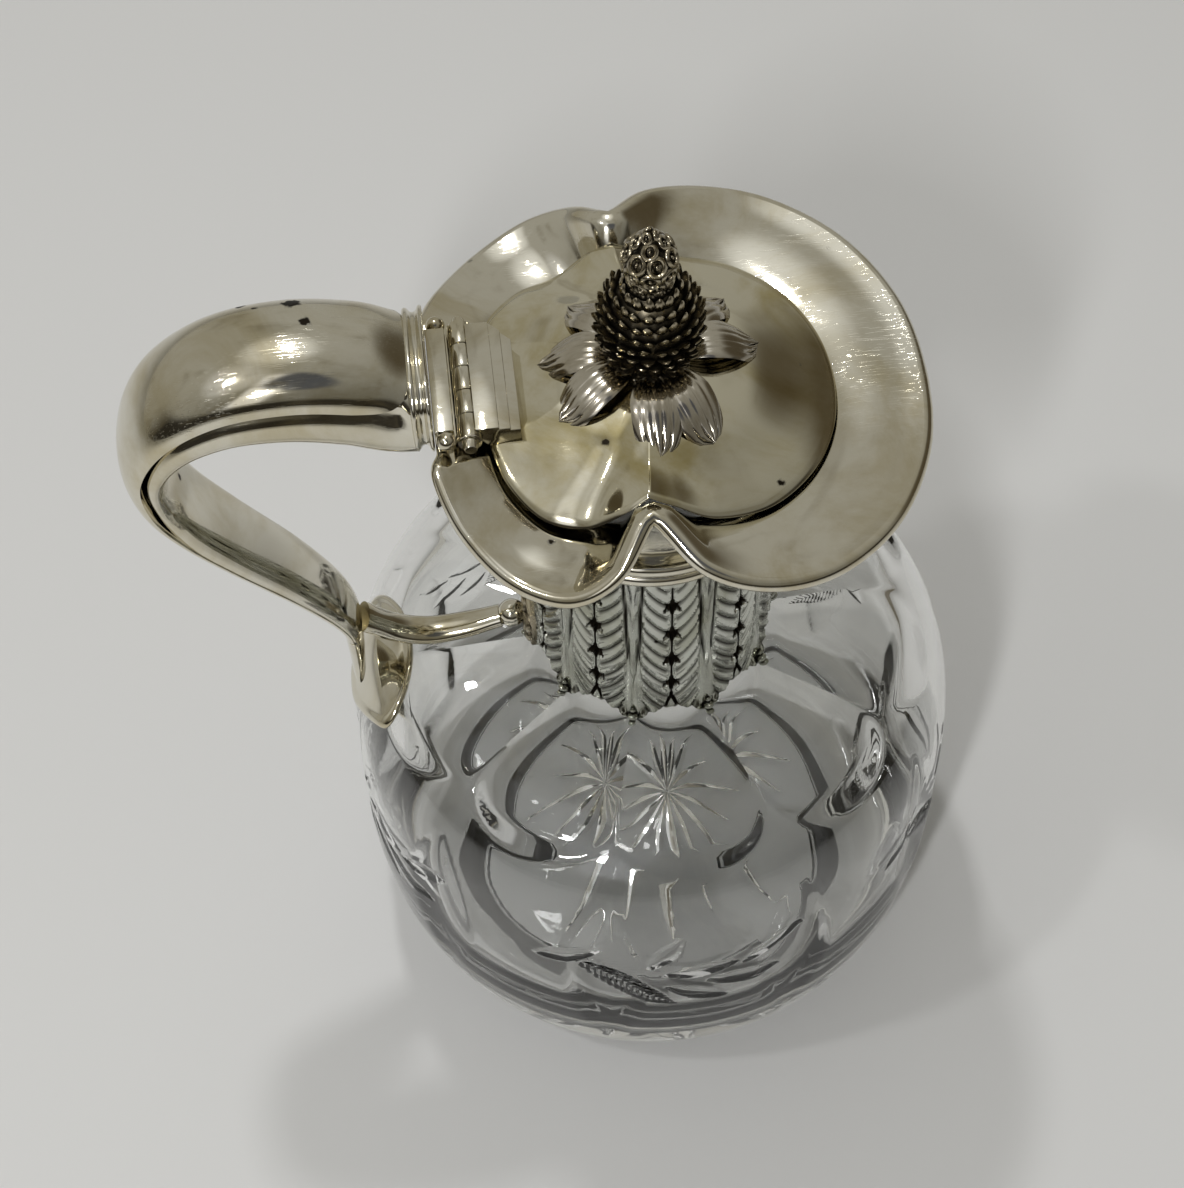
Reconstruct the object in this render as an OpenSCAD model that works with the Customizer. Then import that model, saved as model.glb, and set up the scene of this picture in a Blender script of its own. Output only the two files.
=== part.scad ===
// Claret jug: a cut-glass globe with a silver mount, hollow handle and hinged lid.
// Millimetres, +Z up. The origin is the middle of the foot; the spout points along +X.

/* [Glass] */
// Diameter of the globe at its widest
body_d = 140; // [110:1:180]
// Height of the widest part above the foot
widest_h = 48; // [40:1:56]
// Height of the shoulder, where the neck begins
shoulder_h = 101.5; // [90:0.5:120]
// Diameter of the foot
foot_d = 100; // [84:1:108]
// Thickness of the glass wall
glass_wall = 4.5; // [3:0.5:6]
// Thickness of the floor of the globe
floor_h = 13; // [9:1:18]
// Outer diameter of the glass neck
neck_d = 44; // [38:1:46]
// Diameter of the bore of the neck
bore_d = 34; // [28:1:36]
// Height of the glass neck above its shoulder
neck_h = 48.5; // [40:0.5:60]
// Number of points of the star cut under the foot
star_points = 16; // [8:2:24]

/* [Collar] */
// Outer diameter of the pierced collar
collar_d = 52; // [51:0.5:56]
// Height of the collar above the top of the glass neck
collar_over = 6; // [4:0.5:9]
// Number of panels of the collar
panels = 10; // [6:1:12]
// Turn of the panels from the spout
collar_turn = 3; // [0:1:36]
// Thickness of the silver sheet
sheet = 0.9; // [0.6:0.1:1.2]
// Height of each ring moulding
ring_h = 3.5; // [2.5:0.5:4]

/* [Mouth] */
// Scale of the outline of the mouth and of the lid
mouth_scale = 1; // [0.95:0.01:1.05]
// Height of the mouth above the ring mouldings, at its tip
mouth_h = 22.5; // [20:0.5:26]
// Diameter of the rolled edge
wire_d = 3.6; // [3:0.2:4.4]

/* [Lid] */
// Rise of the top of the lid above its edge at the tip
lid_rise = 11; // [9:0.5:14]
// Depth of the inner flange of the lid
bezel_h = 3.6; // [2:0.2:4.4]
// Height of the scaly cone of the finial
cone_h = 22; // [18:0.5:26]
// Diameter of the scaly cone
cone_d = 21.6; // [18:0.2:24]
// Height of the bud
bud_h = 14; // [10:0.5:18]
// Diameter of the bud
bud_d = 10.4; // [8:0.2:12]
// Number of leaves of the calyx
leaves = 8; // [5:1:10]
// Reach of the leaves from the middle
leaf_r = 21; // [16:0.5:23]
// Diameter of the stud of the finial
stud_d = 3; // [2:0.2:4]

/* [Hinge] */
// Outer diameter of the barrel
barrel_d = 4.8; // [4.2:0.1:5]
// Diameter of the hinge pin
pin_d = 1.6; // [1.2:0.1:2]
// Radial clearance of the moving knuckles on the pin
pin_clearance = 0.05; // [0.02:0.01:0.1]
// Length of the barrel
barrel_l = 28.4; // [24:0.2:29]
// Gap between two knuckles
knuckle_gap = 0.2; // [0.1:0.05:0.4]

/* [Handle] */
// Half width of the handle where it meets the hinge
handle_w = 13; // [11:0.5:14]
// Diameter of the knob of the arm
knob_d = 6.4; // [5:0.2:8]

/* [Hidden] */
$fn = 96;
silver = [0.78, 0.76, 0.7];
dark_silver = [0.42, 0.38, 0.3];

// A seam that is soldered or seated lies this far apart
seam = 0.1;
body_r = body_d / 2;
foot_r = foot_d / 2;
neck_r = neck_d / 2;
bore_r = bore_d / 2;
recess_r = foot_r - 7;
recess_h = 1;
root_r = neck_r + 5;
cavity_h = shoulder_h - glass_wall;
neck_top = shoulder_h + neck_h;
heel_power = 2.5;
shoulder_power = 4.3;

collar_r = collar_d / 2;
liner_r = collar_r - sheet;
collar_z = shoulder_h + 0.5;
collar_top = neck_top + collar_over;
scallop_r = 8;
ring_z = collar_top;
mouth_z = ring_z + 2 * ring_h;
tip_z = mouth_z + mouth_h;
wire_r = wire_d / 2;

// The mouth keeps its proportion to the collar; the hinge line lies behind it, a little above its tip
outline_scale = mouth_scale * collar_d / 52;
hinge_x = -36.5 * outline_scale;
hinge_z = tip_z + 9;
barrel_r = barrel_d / 2;
pin_r = pin_d / 2;
seat_r = barrel_r + 0.15;
knuckle_l = (barrel_l - 4 * knuckle_gap) / 5;
plate_x = hinge_x - seat_r - 0.1;
plate_w = barrel_l / 2 - 1.6;
ball_r = 1.9;
plate_back = hinge_x - 6.7 * outline_scale;
plate_low = hinge_z - 1.8;
plate_top = hinge_z + barrel_r;
relief = 0.4;

lid_top = tip_z + lid_rise + 0.5;
lid_low = lid_top - sheet - seam;
calyx_z = lid_top + 0.05;
hub_h = 2.2;
cone_z = calyx_z + hub_h + 0.05;
bud_z = cone_z + cone_h;
stud_r = stud_d / 2;

function unit(v) = v / norm(v);
function mirrored(p) = [p[0], -p[1], p[2]];

// A quarter of a rounded square: from the widest point (r1, z0) to the narrow end (r0, z1)
function quarter(r0, r1, z0, z1, power, n) = [for (i = [0:n]) let (t = 90 * i / n)
    [r0 + (r1 - r0) * pow(cos(t), 2 / power), z0 + (z1 - z0) * pow(sin(t), 2 / power)]];
function backwards(list) = [for (i = [len(list) - 1:-1:0]) list[i]];

// A smooth curve from b to c, led in by a and out by d
function blend(a, b, c, d, t) = 0.5 * (2 * b + (c - a) * t + (2 * a - 5 * b + 4 * c - d) * t * t
    + (3 * b - a - 3 * c + d) * t * t * t);
// The curve through all knots but the last one
function run(k, before, after, sub) = [for (i = [0:len(k) - 2]) for (j = [0:sub - 1])
    blend(i == 0 ? before : k[i - 1], k[i], k[i + 1], i == len(k) - 2 ? after : k[i + 2], j / sub)];
function lead_in(k) = 2 * k[0] - k[1];
function lead_out(k) = 2 * k[len(k) - 1] - k[len(k) - 2];

// A closed outline in two lobes, from the tip by the pinch to the hinge and back
function half_outline(lobe, heel, sub) = concat(
    run(lobe, mirrored(lobe[1]), lead_out(lobe), sub),
    run(heel, lead_in(heel), lead_out(heel), sub),
    [for (y = [1, 2 / 3, 1 / 3, 0]) let (p = heel[len(heel) - 1]) [p[0], p[1] * y, p[2]]]);
function outline(lobe, heel, sub) = let (h = half_outline(lobe, heel, sub))
    concat(h, [for (i = [len(h) - 2:-1:1]) mirrored(h[i])]);
function sized(list) = [for (p = list) [p[0] * outline_scale, p[1] * outline_scale, p[2] + tip_z]];

// Knots of the mouth and of the lid: [x, y, height above the tip]
mouth_lobe = sized([[56, 0, 0], [53.5, 19, 0], [44.5, 36, 0.4], [31, 47, 1.4],
    [17, 50.4, 3.4], [4.5, 47.5, 7], [-4, 38.5, 12]]);
mouth_heel = sized([[-4, 38.5, 12], [-11, 46.2, 5.4], [-21, 47.6, 0.6], [-32, 41, -0.8],
    [-40.5, 30, 2], [-44.6, 19, 6.4], [-43.2, 14.2, 6.8]]);
lid_lobe = sized([[37, 0, 0.2], [35.2, 12, 0.3], [29.5, 22.5, 0.5], [20, 30.3, 1],
    [9, 32.8, 2.6], [1, 32, 6.8], [-4, 31.3, 9.6]]);
lid_heel = sized([[-4, 31.3, 9.6], [-9, 32.4, 6.4], [-16, 31.2, 1.2], [-24, 28.2, 1],
    [-30, 21, 3.2], [-32.8, 13, 5.6]]);
mouth_line = outline(mouth_lobe, mouth_heel, 4);
lid_line = outline(lid_lobe, lid_heel, 4);

// Section of the mouth: rises from the neck, then turns outward to its edge
function radius(p) = norm([p[0], p[1]]);
function at_hinge(p) = p[0] < 0 && abs(p[1]) < 14.5 * outline_scale;
// The point i of an outline, moved inward by the distance d
function inset(list, i, d) = let (n = len(list), t = unit(list[(i + 1) % n] - list[(i + n - 1) % n]),
    f = unit([-t[1], t[0], 0])) list[i] + d * f;
mouth_edge = [for (i = [0:len(mouth_line) - 1])
    inset(mouth_line, i, at_hinge(mouth_line[i]) ? 0.3 : wire_d + 0.25)];
function bend(p) = [[liner_r - sheet, mouth_z], [liner_r - sheet, mouth_z + mouth_h * 0.8],
    [liner_r + 6.4, p[2] + 1 - 0.28 * (p[2] - tip_z)], [radius(p), p[2]]];
function bend_at(b, t) = pow(1 - t, 3) * b[0] + 3 * t * pow(1 - t, 2) * b[1]
    + 3 * t * t * (1 - t) * b[2] + pow(t, 3) * b[3];
function bend_dir(b, t) = unit(pow(1 - t, 2) * (b[1] - b[0]) + 2 * t * (1 - t) * (b[2] - b[1])
    + t * t * (b[3] - b[2]));
function place(p, rz) = let (u = unit([p[0], p[1]])) [u[0] * rz[0], u[1] * rz[0], rz[1]];
function bend_out(b, t) = let (d = bend_dir(b, t)) bend_at(b, t) + [d[1], -d[0]] * sheet;

// Height of the lid over its outline point p, at the fraction q of the way out
hole_r = stud_r + 0.2;
function lid_at(p, q, drop) = place(p, [hole_r + (radius(p) - hole_r) * q,
    lid_top - (lid_top - p[2]) * pow(q, 2.2) - drop]);
function lid_share(p, r) = (r - hole_r) / (radius(p) - hole_r);

// Height of the shoulder of the glass at the radius r, at the distance extra above it
function shoulder_at(r, extra) = widest_h + (shoulder_h + extra - widest_h)
    * pow(1 - pow((r - root_r) / (body_r + extra - root_r), shoulder_power), 1 / shoulder_power);

// The handle starts behind the hinge and ends where the arm branches off
start_x = plate_back - 3.2;
start_z = hinge_z + 6.5;
end_x = -body_r + 3.8;
end_z = shoulder_h + 10.5;
saddle_h = 1.6;
knob_x = -collar_r - 5.1;
knob_z = shoulder_h + 8.1;

// Stations: [x, z, half width, height outside, depth inside, squareness inside]
top_line = [[0, 0, 0, 7, 13, 3.6], [-10.6, 4.2, 0.2, 8, 13, 3.6], [-23.2, 6.4, 0.2, 8, 12, 3.4],
    [-36.8, 4.4, 0, 7.2, 10.2, 3], [-48.2, -3, -0.4, 5.8, 7.6, 2.7], [-54.4, -14, -1, 4.5, 5.4, 2.4],
    [-53.9, -26.5, -1.8, 3.8, 4.4, 2.2]];
return_line = [[-29, 50.5, 4, 3.3, 3.8, 2], [-20.8, 38, 3.2, 3, 3.4, 2],
    [-10.3, 23.5, 2.2, 2.9, 3.1, 2], [-2.4, 10, 1, 2.6, 2.7, 2], [0, 0, 0, 2.2, 2.2, 2]];
handle_line = concat([for (s = top_line) s + [start_x, start_z, handle_w, 0, 0, 0]],
    [for (s = return_line) s + [end_x, end_z, 6.4, 0, 0, 0]]);
tail_low = shoulder_at(-end_x - 1.5, saddle_h) + 0.2;
tail_line = [[end_x, end_z - 0.2, 6.4, 1.8, 1.8, 2], [end_x, (end_z + tail_low) / 2, 6.4, 1.7, 1.7, 2],
    [end_x, tail_low, 8, 1.5, 1.5, 2]];
arm_line = [[end_x + 4.1, end_z + 2.4, 3.6, 2.2, 2.2, 2],
    [end_x + 9, shoulder_h + 7.1, 3.6, 2.2, 2.2, 2],
    [(end_x + knob_x) / 2 - 1.4, shoulder_h + 4.4, 3.5, 2.2, 2.2, 2],
    [knob_x - 10.9, shoulder_h + 5.1, 3.3, 2.1, 2.1, 2],
    [knob_x - 3.4, knob_z - 0.6, 2.8, 2, 2, 2]];

// A path of stations that leaves square to the direction of its ends
function turned(a, b, d) = [for (n = [0:5]) n > 1 || d[n] == 0 ? b[n] : 2 * a[n] - b[n]];
function path(k, first, last, sub) = let (e = len(k) - 1)
    concat(run(k, turned(k[0], k[1], first), turned(k[e], k[e - 1], last), sub), [k[e]]);
function heading(line, i, first, last) = i == 0 ? first : i == len(line) - 1 ? last
    : unit([for (n = [0, 1]) line[i + 1][n] - line[i - 1][n]]);
back = [-1, 0];
down = [0, -1];
// A point at the width y and the height n over the station s, square to the line
function off(s, d, y, n) = [s[0] + d[1] * n, y, s[1] - d[0] * n];
function power(v, p) = sign(v) * pow(abs(v), 2 / p);
// Half a hollow section: side 1 is outside, side -1 is inside
function half_shell(s, d, side, n) = let (h = side > 0 ? s[3] : s[4], p = side > 0 ? 2 : s[5])
    concat([for (i = [0:n]) let (a = 180 * i / n)
        off(s, d, s[2] * power(cos(a), p), side * (seam / 2 + (h - seam / 2) * power(sin(a), p)))],
    [for (i = [n:-1:0]) let (a = 180 * i / n)
        off(s, d, (s[2] - sheet) * power(cos(a), p),
            side * (seam / 2 + (h - seam / 2 - sheet) * power(sin(a), p)))]);
function oval(s, d, n) = [for (i = [0:n - 1]) let (a = 360 * i / n)
    off(s, d, s[2] * cos(a), s[3] * sin(a))];

// A skin over sections that all have the same even number of points
module skin(rings, closed = false) {
    n = len(rings);
    m = len(rings[0]);
    sides = [for (i = [0:closed ? n - 1 : n - 2]) for (j = [0:m - 1])
        let (k = (i + 1) % n, l = (j + 1) % m)
        each [[i * m + j, i * m + l, k * m + l], [i * m + j, k * m + l, k * m + j]]];
    near = closed ? [] : [for (j = [0:m / 2 - 2])
        each [[j, m - 1 - j, j + 1], [j + 1, m - 1 - j, m - 2 - j]]];
    e = (n - 1) * m;
    far = closed ? [] : [for (j = [0:m / 2 - 2])
        each [[e + j, e + j + 1, e + m - 1 - j], [e + j + 1, e + m - 2 - j, e + m - 1 - j]]];
    polyhedron([for (r = rings) each r], concat(sides, near, far), convexity = 6);
}

function glass_outside(extra) = concat(
    backwards(quarter(foot_r + extra, body_r + extra, widest_h, -extra, heel_power, 12)),
    quarter(root_r, body_r + extra, widest_h, shoulder_h + extra, shoulder_power, 16));

module glass_body() {
    inside = concat(
        backwards(quarter(bore_r, body_r - glass_wall, widest_h, cavity_h, shoulder_power, 14)),
        quarter(foot_r - 10, body_r - glass_wall, widest_h, floor_h, heel_power, 10));
    root = [for (i = [1:4]) let (a = 90 * i / 4)
        [root_r - 5 * sin(a), shoulder_h + 5 * (1 - cos(a))]];
    color([0.8, 0.88, 0.88, 0.5])
    difference() {
        rotate_extrude() polygon(concat(
            [[0, recess_h], [recess_r, recess_h], [recess_r + 1, 0]],
            glass_outside(0), root,
            [[neck_r, neck_top], [bore_r, neck_top]], inside, [[0, floor_h]]));
        for (i = [0:star_points / 2 - 1])
            rotate([0, 0, 360 * i / star_points])
            translate([0, 0, recess_h])
            rotate([45, 0, 0])
            cube([2 * (recess_r - 5), 1.8, 1.8], center = true);
    }
}

module tube(outer, inner, low, high) {
    translate([0, 0, low])
    difference() {
        cylinder(r = outer, h = high - low);
        translate([0, 0, -1]) cylinder(r = inner, h = high - low + 2);
    }
}

module neck_cement() {
    color("ivory") tube(liner_r - seam, neck_r + seam, shoulder_h + 6, neck_top);
}

// The sleeve ends below in scallops and is pierced along the middle of each panel
module neck_collar() {
    color(silver)
    difference() {
        tube(collar_r, liner_r, collar_z, collar_top);
        for (i = [0:panels - 1])
            rotate([0, 0, collar_turn + 360 * (i + 0.5) / panels]) {
                translate([liner_r - 4, 0, collar_z - scallop_r / 2])
                    rotate([0, 90, 0]) cylinder(r = scallop_r, h = 8);
                for (z = [12:8:36])
                    translate([liner_r - 1, 0, collar_z + z])
                        rotate([0, 90, 0]) cylinder(r = 0.8, h = 3, $fn = 24);
            }
    }
}

// The throat stands on the glass and the cement, and carries the mouth
module neck_liner() {
    color(silver) {
        tube(liner_r, bore_r, neck_top, neck_top + sheet);
        tube(liner_r, liner_r - sheet, neck_top + sheet, mouth_z);
    }
}

module moulding(low) {
    color(silver)
    rotate_extrude()
    intersection() {
        translate([liner_r + 0.8, low + ring_h / 2]) circle(r = ring_h / 2);
        translate([liner_r, low]) square([2 * ring_h, ring_h]);
    }
}

module neck_ring_lower() { moulding(ring_z); }
module neck_ring_upper() { moulding(ring_z + ring_h); }

module mouth_dish() {
    n = 7;
    color(silver)
    skin([for (p = mouth_edge) let (b = bend(p)) concat(
        [for (i = [0:n]) place(p, bend_at(b, i / n))],
        [for (i = [n:-1:0]) place(p, bend_out(b, i / n))])], closed = true);
}

// The rolled edge runs from one end of the hinge round the spout to the other
module rim_wire() {
    low = [0, 0, -wire_r * 0.7];
    core = [for (i = [0:len(mouth_line) - 1]) inset(mouth_line, i, wire_r) + low];
    // The outline starts at the tip, so its second half comes first
    half = len(core) / 2;
    run = [for (i = [0:len(core) - 1]) let (k = (i + half) % len(core))
        if (!at_hinge(mouth_line[k])) core[k]];
    n = 10;
    color(silver)
    skin([for (i = [0:len(run) - 1])
        let (d = unit(run[min(i + 1, len(run) - 1)] - run[max(i - 1, 0)]),
            u = unit(cross(d, [0, 0, 1])), v = cross(u, d))
        [for (j = [0:n - 1]) let (a = 360 * j / n)
            run[i] + wire_r * (cos(a) * u + sin(a) * v)]]);
}

module barrel_seat() {
    translate([hinge_x, 50, hinge_z]) rotate([90, 0, 0]) cylinder(r = seat_r, h = 100);
}

// The upper edge of the plate stands back, so that the leaf clears it when the lid is open
module hinge_plate() {
    color(silver)
    difference() {
        translate([plate_back, -plate_w, plate_low])
            cube([hinge_x - plate_back - 1.2, 2 * plate_w, plate_top - plate_low]);
        barrel_seat();
        translate([hinge_x - seat_r - relief, -plate_w - 1, hinge_z + relief])
            cube([2 * barrel_d, 2 * plate_w + 2, barrel_d]);
    }
}

module plate_ball(side) {
    color(silver)
    difference() {
        translate([plate_x - ball_r, side * (plate_w + 1.6), hinge_z + 1.1])
            sphere(r = ball_r, $fn = 40);
        translate([plate_x - 10, side > 0 ? plate_w + seam - 20 : -plate_w - seam, hinge_z - 10])
            cube([20, 20, 20]);
    }
}

module plate_ball_front() { plate_ball(-1); }
module plate_ball_rear() { plate_ball(1); }

module knuckle(index, clearance) {
    start = -barrel_l / 2 + index * (knuckle_l + knuckle_gap);
    color(silver)
    translate([hinge_x, start, hinge_z])
    rotate([-90, 0, 0])
    difference() {
        cylinder(r = barrel_r, h = knuckle_l);
        translate([0, 0, -1]) cylinder(r = pin_r + clearance, h = knuckle_l + 2);
    }
}

module jug_knuckle_front() { knuckle(0, 0); }
module lid_knuckle_front() { knuckle(1, pin_clearance); }
module jug_knuckle_middle() { knuckle(2, 0); }
module lid_knuckle_rear() { knuckle(3, pin_clearance); }
module jug_knuckle_rear() { knuckle(4, 0); }

module hinge_pin() {
    color(silver)
    translate([hinge_x, barrel_l / 2 + 1, hinge_z])
    rotate([90, 0, 0])
    cylinder(r = pin_r, h = barrel_l + 2);
}

module pin_end(side) {
    color(silver)
    translate([hinge_x, side * barrel_l / 2, hinge_z])
    rotate([side > 0 ? -90 : 90, 0, 0])
    difference() {
        translate([0, 0, seam]) cylinder(r1 = pin_r + 0.9, r2 = pin_r + 0.4, h = 1.7);
        cylinder(r = pin_r, h = 1);
    }
}

module pin_end_front() { pin_end(-1); }
module pin_end_rear() { pin_end(1); }

module handle_flange() {
    s = handle_line[0];
    n = 24;
    color(silver)
    translate([s[0] + seam, 0, s[1]])
    rotate([90, 0, 90])
    linear_extrude(height = plate_back - 2 * seam - s[0])
    polygon(concat(
        [for (i = [0:n]) let (a = 180 * i / n) [(s[2] + 0.6) * cos(a), (s[3] + 0.6) * sin(a)]],
        [for (i = [1:n - 1]) let (a = 180 + 180 * i / n)
            [(s[2] + 0.6) * power(cos(a), s[5]), (s[4] + 0.6) * power(sin(a), s[5])]]));
}

module handle_half(side) {
    line = path(handle_line, back, down, 3);
    e = len(line) - 1;
    color(silver)
    skin([for (i = side > 0 ? [0:e] : [e:-1:0])
        half_shell(line[i], heading(line, i, back, down), side, 12)]);
}

module handle_outer() { handle_half(1); }
module handle_inner() { handle_half(-1); }

module strap(line, first, last) {
    color(silver)
    skin([for (i = [0:len(line) - 1]) oval(line[i], heading(line, i, first, last), 16)]);
}

module handle_tail() { strap(path(tail_line, down, down, 3), down, down); }

// A leaf-shaped foot for the handle, which follows the shoulder of the glass
module tail_saddle() {
    half = [[-68, 4], [-66, 10], [-61.5, 17], [-60.5, 17.6], [-57.5, 15], [-54.5, 9], [-54, 5],
        [-53.6, 0]];
    whole = concat(half, [for (i = [len(half) - 2:-1:0]) [half[i][0], -half[i][1]]]);
    color(silver)
    intersection() {
        rotate_extrude() polygon(concat(
            glass_outside(0.35), backwards(glass_outside(saddle_h))));
        translate([0, 0, widest_h + 10])
            linear_extrude(height = shoulder_h)
            scale(end_x / -66.2)
            polygon(whole);
    }
}

module handle_arm() {
    strap(path(arm_line, unit([1, -1]), unit([4, 1]), 4), unit([1, -1]), unit([4, 1]));
}

module arm_knob() {
    color(silver)
    difference() {
        translate([knob_x, 0, knob_z]) sphere(d = knob_d, $fn = 48);
        translate([-collar_r - 2 - seam, -10, knob_z - 10]) cube([20, 20, 20]);
    }
}

module arm_bracket() {
    color(silver)
    intersection() {
        tube(collar_r + 2, collar_r + 0.05, collar_z + 1.5, collar_z + 14);
        translate([-collar_r - 5, -5.5, collar_z]) cube([12, 11, 20]);
    }
}

module lid_dome() {
    n = 8;
    color(silver)
    skin([for (p = lid_line) concat(
        [for (i = [0:n]) lid_at(p, i / n, 0)],
        [for (i = [n:-1:0]) lid_at(p, i / n, sheet)])], closed = true);
}

module lid_bezel() {
    share = 0.84;
    drop = sheet + seam;
    color(silver)
    skin([for (p = lid_line) let (out = lid_share(p, share * radius(p)),
        in = lid_share(p, share * radius(p) - sheet))
        [lid_at(p, in, drop), lid_at(p, out, drop), lid_at(p, out, drop + bezel_h),
            lid_at(p, in, drop + bezel_h)]], closed = true);
}

// The moving leaf lies on the edge of the lid, with two steps up to the barrel
module lid_leaf() {
    edge = lid_heel[len(lid_heel) - 1];
    end = [edge[0], 0, edge[2]];
    under = [for (i = [0:5]) let (p = lid_at(end, 1 - 0.04 * i, -seam)) [p[0], p[2]]];
    front = under[5][0];
    top = hinge_z + barrel_r;
    steps = [[front, top - 1.2], [front - 2, top - 1.2], [front - 2, top - 0.6],
        [front - 4.2, top - 0.6], [front - 4.2, top], [hinge_x + 1.2, top]];
    color(silver)
    difference() {
        translate([0, 13, 0])
            rotate([90, 0, 0])
            linear_extrude(height = 26)
            polygon(concat([[hinge_x + 1.2, hinge_z - 1.2]], under, steps));
        barrel_seat();
    }
}

module finial_calyx() {
    color(silver)
    difference() {
        union() {
            translate([0, 0, calyx_z]) cylinder(r = 6.5, h = hub_h);
            for (i = [0:leaves - 1])
                rotate([0, 0, 360 * i / leaves])
                translate([0, 0, calyx_z + 1.5])
                rotate([0, 3, 0])
                linear_extrude(height = 0.9)
                polygon([[4.5, -1.6], [9, -3.3], [14, -4], [18.5, -2.8], [leaf_r, 0],
                    [18.5, 2.8], [14, 4], [9, 3.3], [4.5, 1.6]]);
        }
        translate([0, 0, calyx_z - 5]) cylinder(r = stud_r, h = 20);
    }
}

module egg(r, low, high, from, to, bore_top) {
    mid = (low + high * sin(-from)) / (1 + sin(-from));
    color(dark_silver)
    difference() {
        rotate_extrude() polygon(concat([[0, low]],
            [for (i = [0:14]) let (a = from + (to - from) * i / 14)
                [r * cos(a), mid + (a < 0 ? mid - low : (high - mid) / sin(to)) * sin(a)
                    / (a < 0 ? sin(-from) : 1)]],
            [[0, high]]));
        translate([0, 0, low - 1]) cylinder(r = stud_r, h = bore_top - low + 1);
    }
}

module finial_cone() { egg(cone_d / 2, cone_z, bud_z, -58, 74, bud_z + 1); }
module finial_bud() { egg(bud_d / 2, bud_z + 0.05, bud_z + bud_h, -60, 84, bud_z + 5.2); }

module finial_stud() {
    color(silver)
    translate([0, 0, lid_low - 5.6]) cylinder(r = stud_r, h = bud_z + 5 - lid_low + 5.6);
}

module finial_washer() {
    color(silver) tube(5, stud_r, lid_low - 0.9, lid_low);
}

module finial_nut() {
    color(silver)
    translate([0, 0, lid_low - 4])
    difference() {
        cylinder(r = 4.1, h = 3.1, $fn = 6);
        translate([0, 0, -1]) cylinder(r = stud_r, h = 6);
    }
}

glass_body();
neck_cement();
neck_collar();
neck_liner();
neck_ring_lower();
neck_ring_upper();
mouth_dish();
rim_wire();
hinge_plate();
plate_ball_front();
plate_ball_rear();
jug_knuckle_front();
jug_knuckle_middle();
jug_knuckle_rear();
hinge_pin();
pin_end_front();
pin_end_rear();
handle_flange();
handle_outer();
handle_inner();
handle_tail();
tail_saddle();
handle_arm();
arm_knob();
arm_bracket();
lid_dome();
lid_bezel();
lid_leaf();
lid_knuckle_front();
lid_knuckle_rear();
finial_calyx();
finial_cone();
finial_bud();
finial_stud();
finial_washer();
finial_nut();
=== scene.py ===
"""A claret jug: cut-glass globe, pierced silver collar, two-lobed mouth, hinged lid and hollow handle."""
import random
from math import atan2, cos, dist, hypot, pi, radians, sin, sqrt, tau

import bmesh
import bpy
from mathutils import Matrix, Vector

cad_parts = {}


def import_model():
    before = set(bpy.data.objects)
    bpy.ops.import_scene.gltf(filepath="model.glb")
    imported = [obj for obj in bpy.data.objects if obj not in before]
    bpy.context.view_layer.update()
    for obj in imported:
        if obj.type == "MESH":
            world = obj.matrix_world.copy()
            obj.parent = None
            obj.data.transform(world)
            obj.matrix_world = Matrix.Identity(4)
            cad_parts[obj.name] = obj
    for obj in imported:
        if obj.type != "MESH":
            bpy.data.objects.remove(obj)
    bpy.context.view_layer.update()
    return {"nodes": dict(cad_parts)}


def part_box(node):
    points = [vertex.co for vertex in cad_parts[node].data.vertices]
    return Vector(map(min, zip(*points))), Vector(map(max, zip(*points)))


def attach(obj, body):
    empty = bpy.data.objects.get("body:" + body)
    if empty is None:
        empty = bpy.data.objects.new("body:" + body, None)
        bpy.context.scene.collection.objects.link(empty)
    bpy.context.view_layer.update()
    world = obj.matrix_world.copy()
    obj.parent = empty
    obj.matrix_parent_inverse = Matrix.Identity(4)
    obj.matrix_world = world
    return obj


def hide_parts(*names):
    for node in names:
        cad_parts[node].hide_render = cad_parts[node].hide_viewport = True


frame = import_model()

MM = 0.001

# ---- sizes in millimetres
GLOBE_R, WIDEST, SHOULDER, FOOT_R = 70.0, 48.0, 101.5, 50.0
WALL, FLOOR, NECK_R, BORE_R, NECK_TOP = 4.5, 13.0, 22.0, 17.0, 150.0
ROOT_FILLET = 5
ROOT_R = NECK_R + ROOT_FILLET
RECESS_R, RECESS = 43.0, 1.0
HEEL_POWER, SHOULDER_POWER = 2.5, 4.3
PANELS = 10
PANEL_TURN = radians(3)

COLLAR_R, COLLAR_LOW, COLLAR_TOP, SHEET = 26.0, 102.0, 156.0, 0.9
LINER_R = COLLAR_R - SHEET
RING = 3.5
MOUTH_LOW = COLLAR_TOP + 2 * RING
TIP = MOUTH_LOW + 22.5
ROLL_R = 1.8
OUTLINE_STEPS = 12

HINGE_X, HINGE_Z, BARREL_R = -36.5, TIP + 9, 2.4
LID_TOP = TIP + 11.5
CALYX_LOW = LID_TOP + 0.05
CONE_LOW = CALYX_LOW + 2.25
CONE_R, CONE_H = 10.8, 22.0
BUD_LOW = CONE_LOW + CONE_H
BUD_R = 5.6


# ---- shaping
def blend(a, b, c, d, t):
    """A point of the smooth curve from b to c, led in by a and out by d."""
    return [0.5 * (2 * q + (r - p) * t + (2 * p - 5 * q + 4 * r - s) * t * t
        + (3 * q - p - 3 * r + s) * t ** 3) for p, q, r, s in zip(a, b, c, d)]


def curve(knots, before, after, steps):
    """The smooth curve through all knots but the last one."""
    line = [before] + knots + [after]
    return [blend(*line[i:i + 4], j / steps) for i in range(len(knots) - 1) for j in range(steps)]


def led(a, b):
    return [2 * p - q for p, q in zip(a, b)]


def flipped(p):
    return [p[0], -p[1], *p[2:]]


def raised(knots):
    return [[x, y, z + TIP] for x, y, z in knots]


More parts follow.
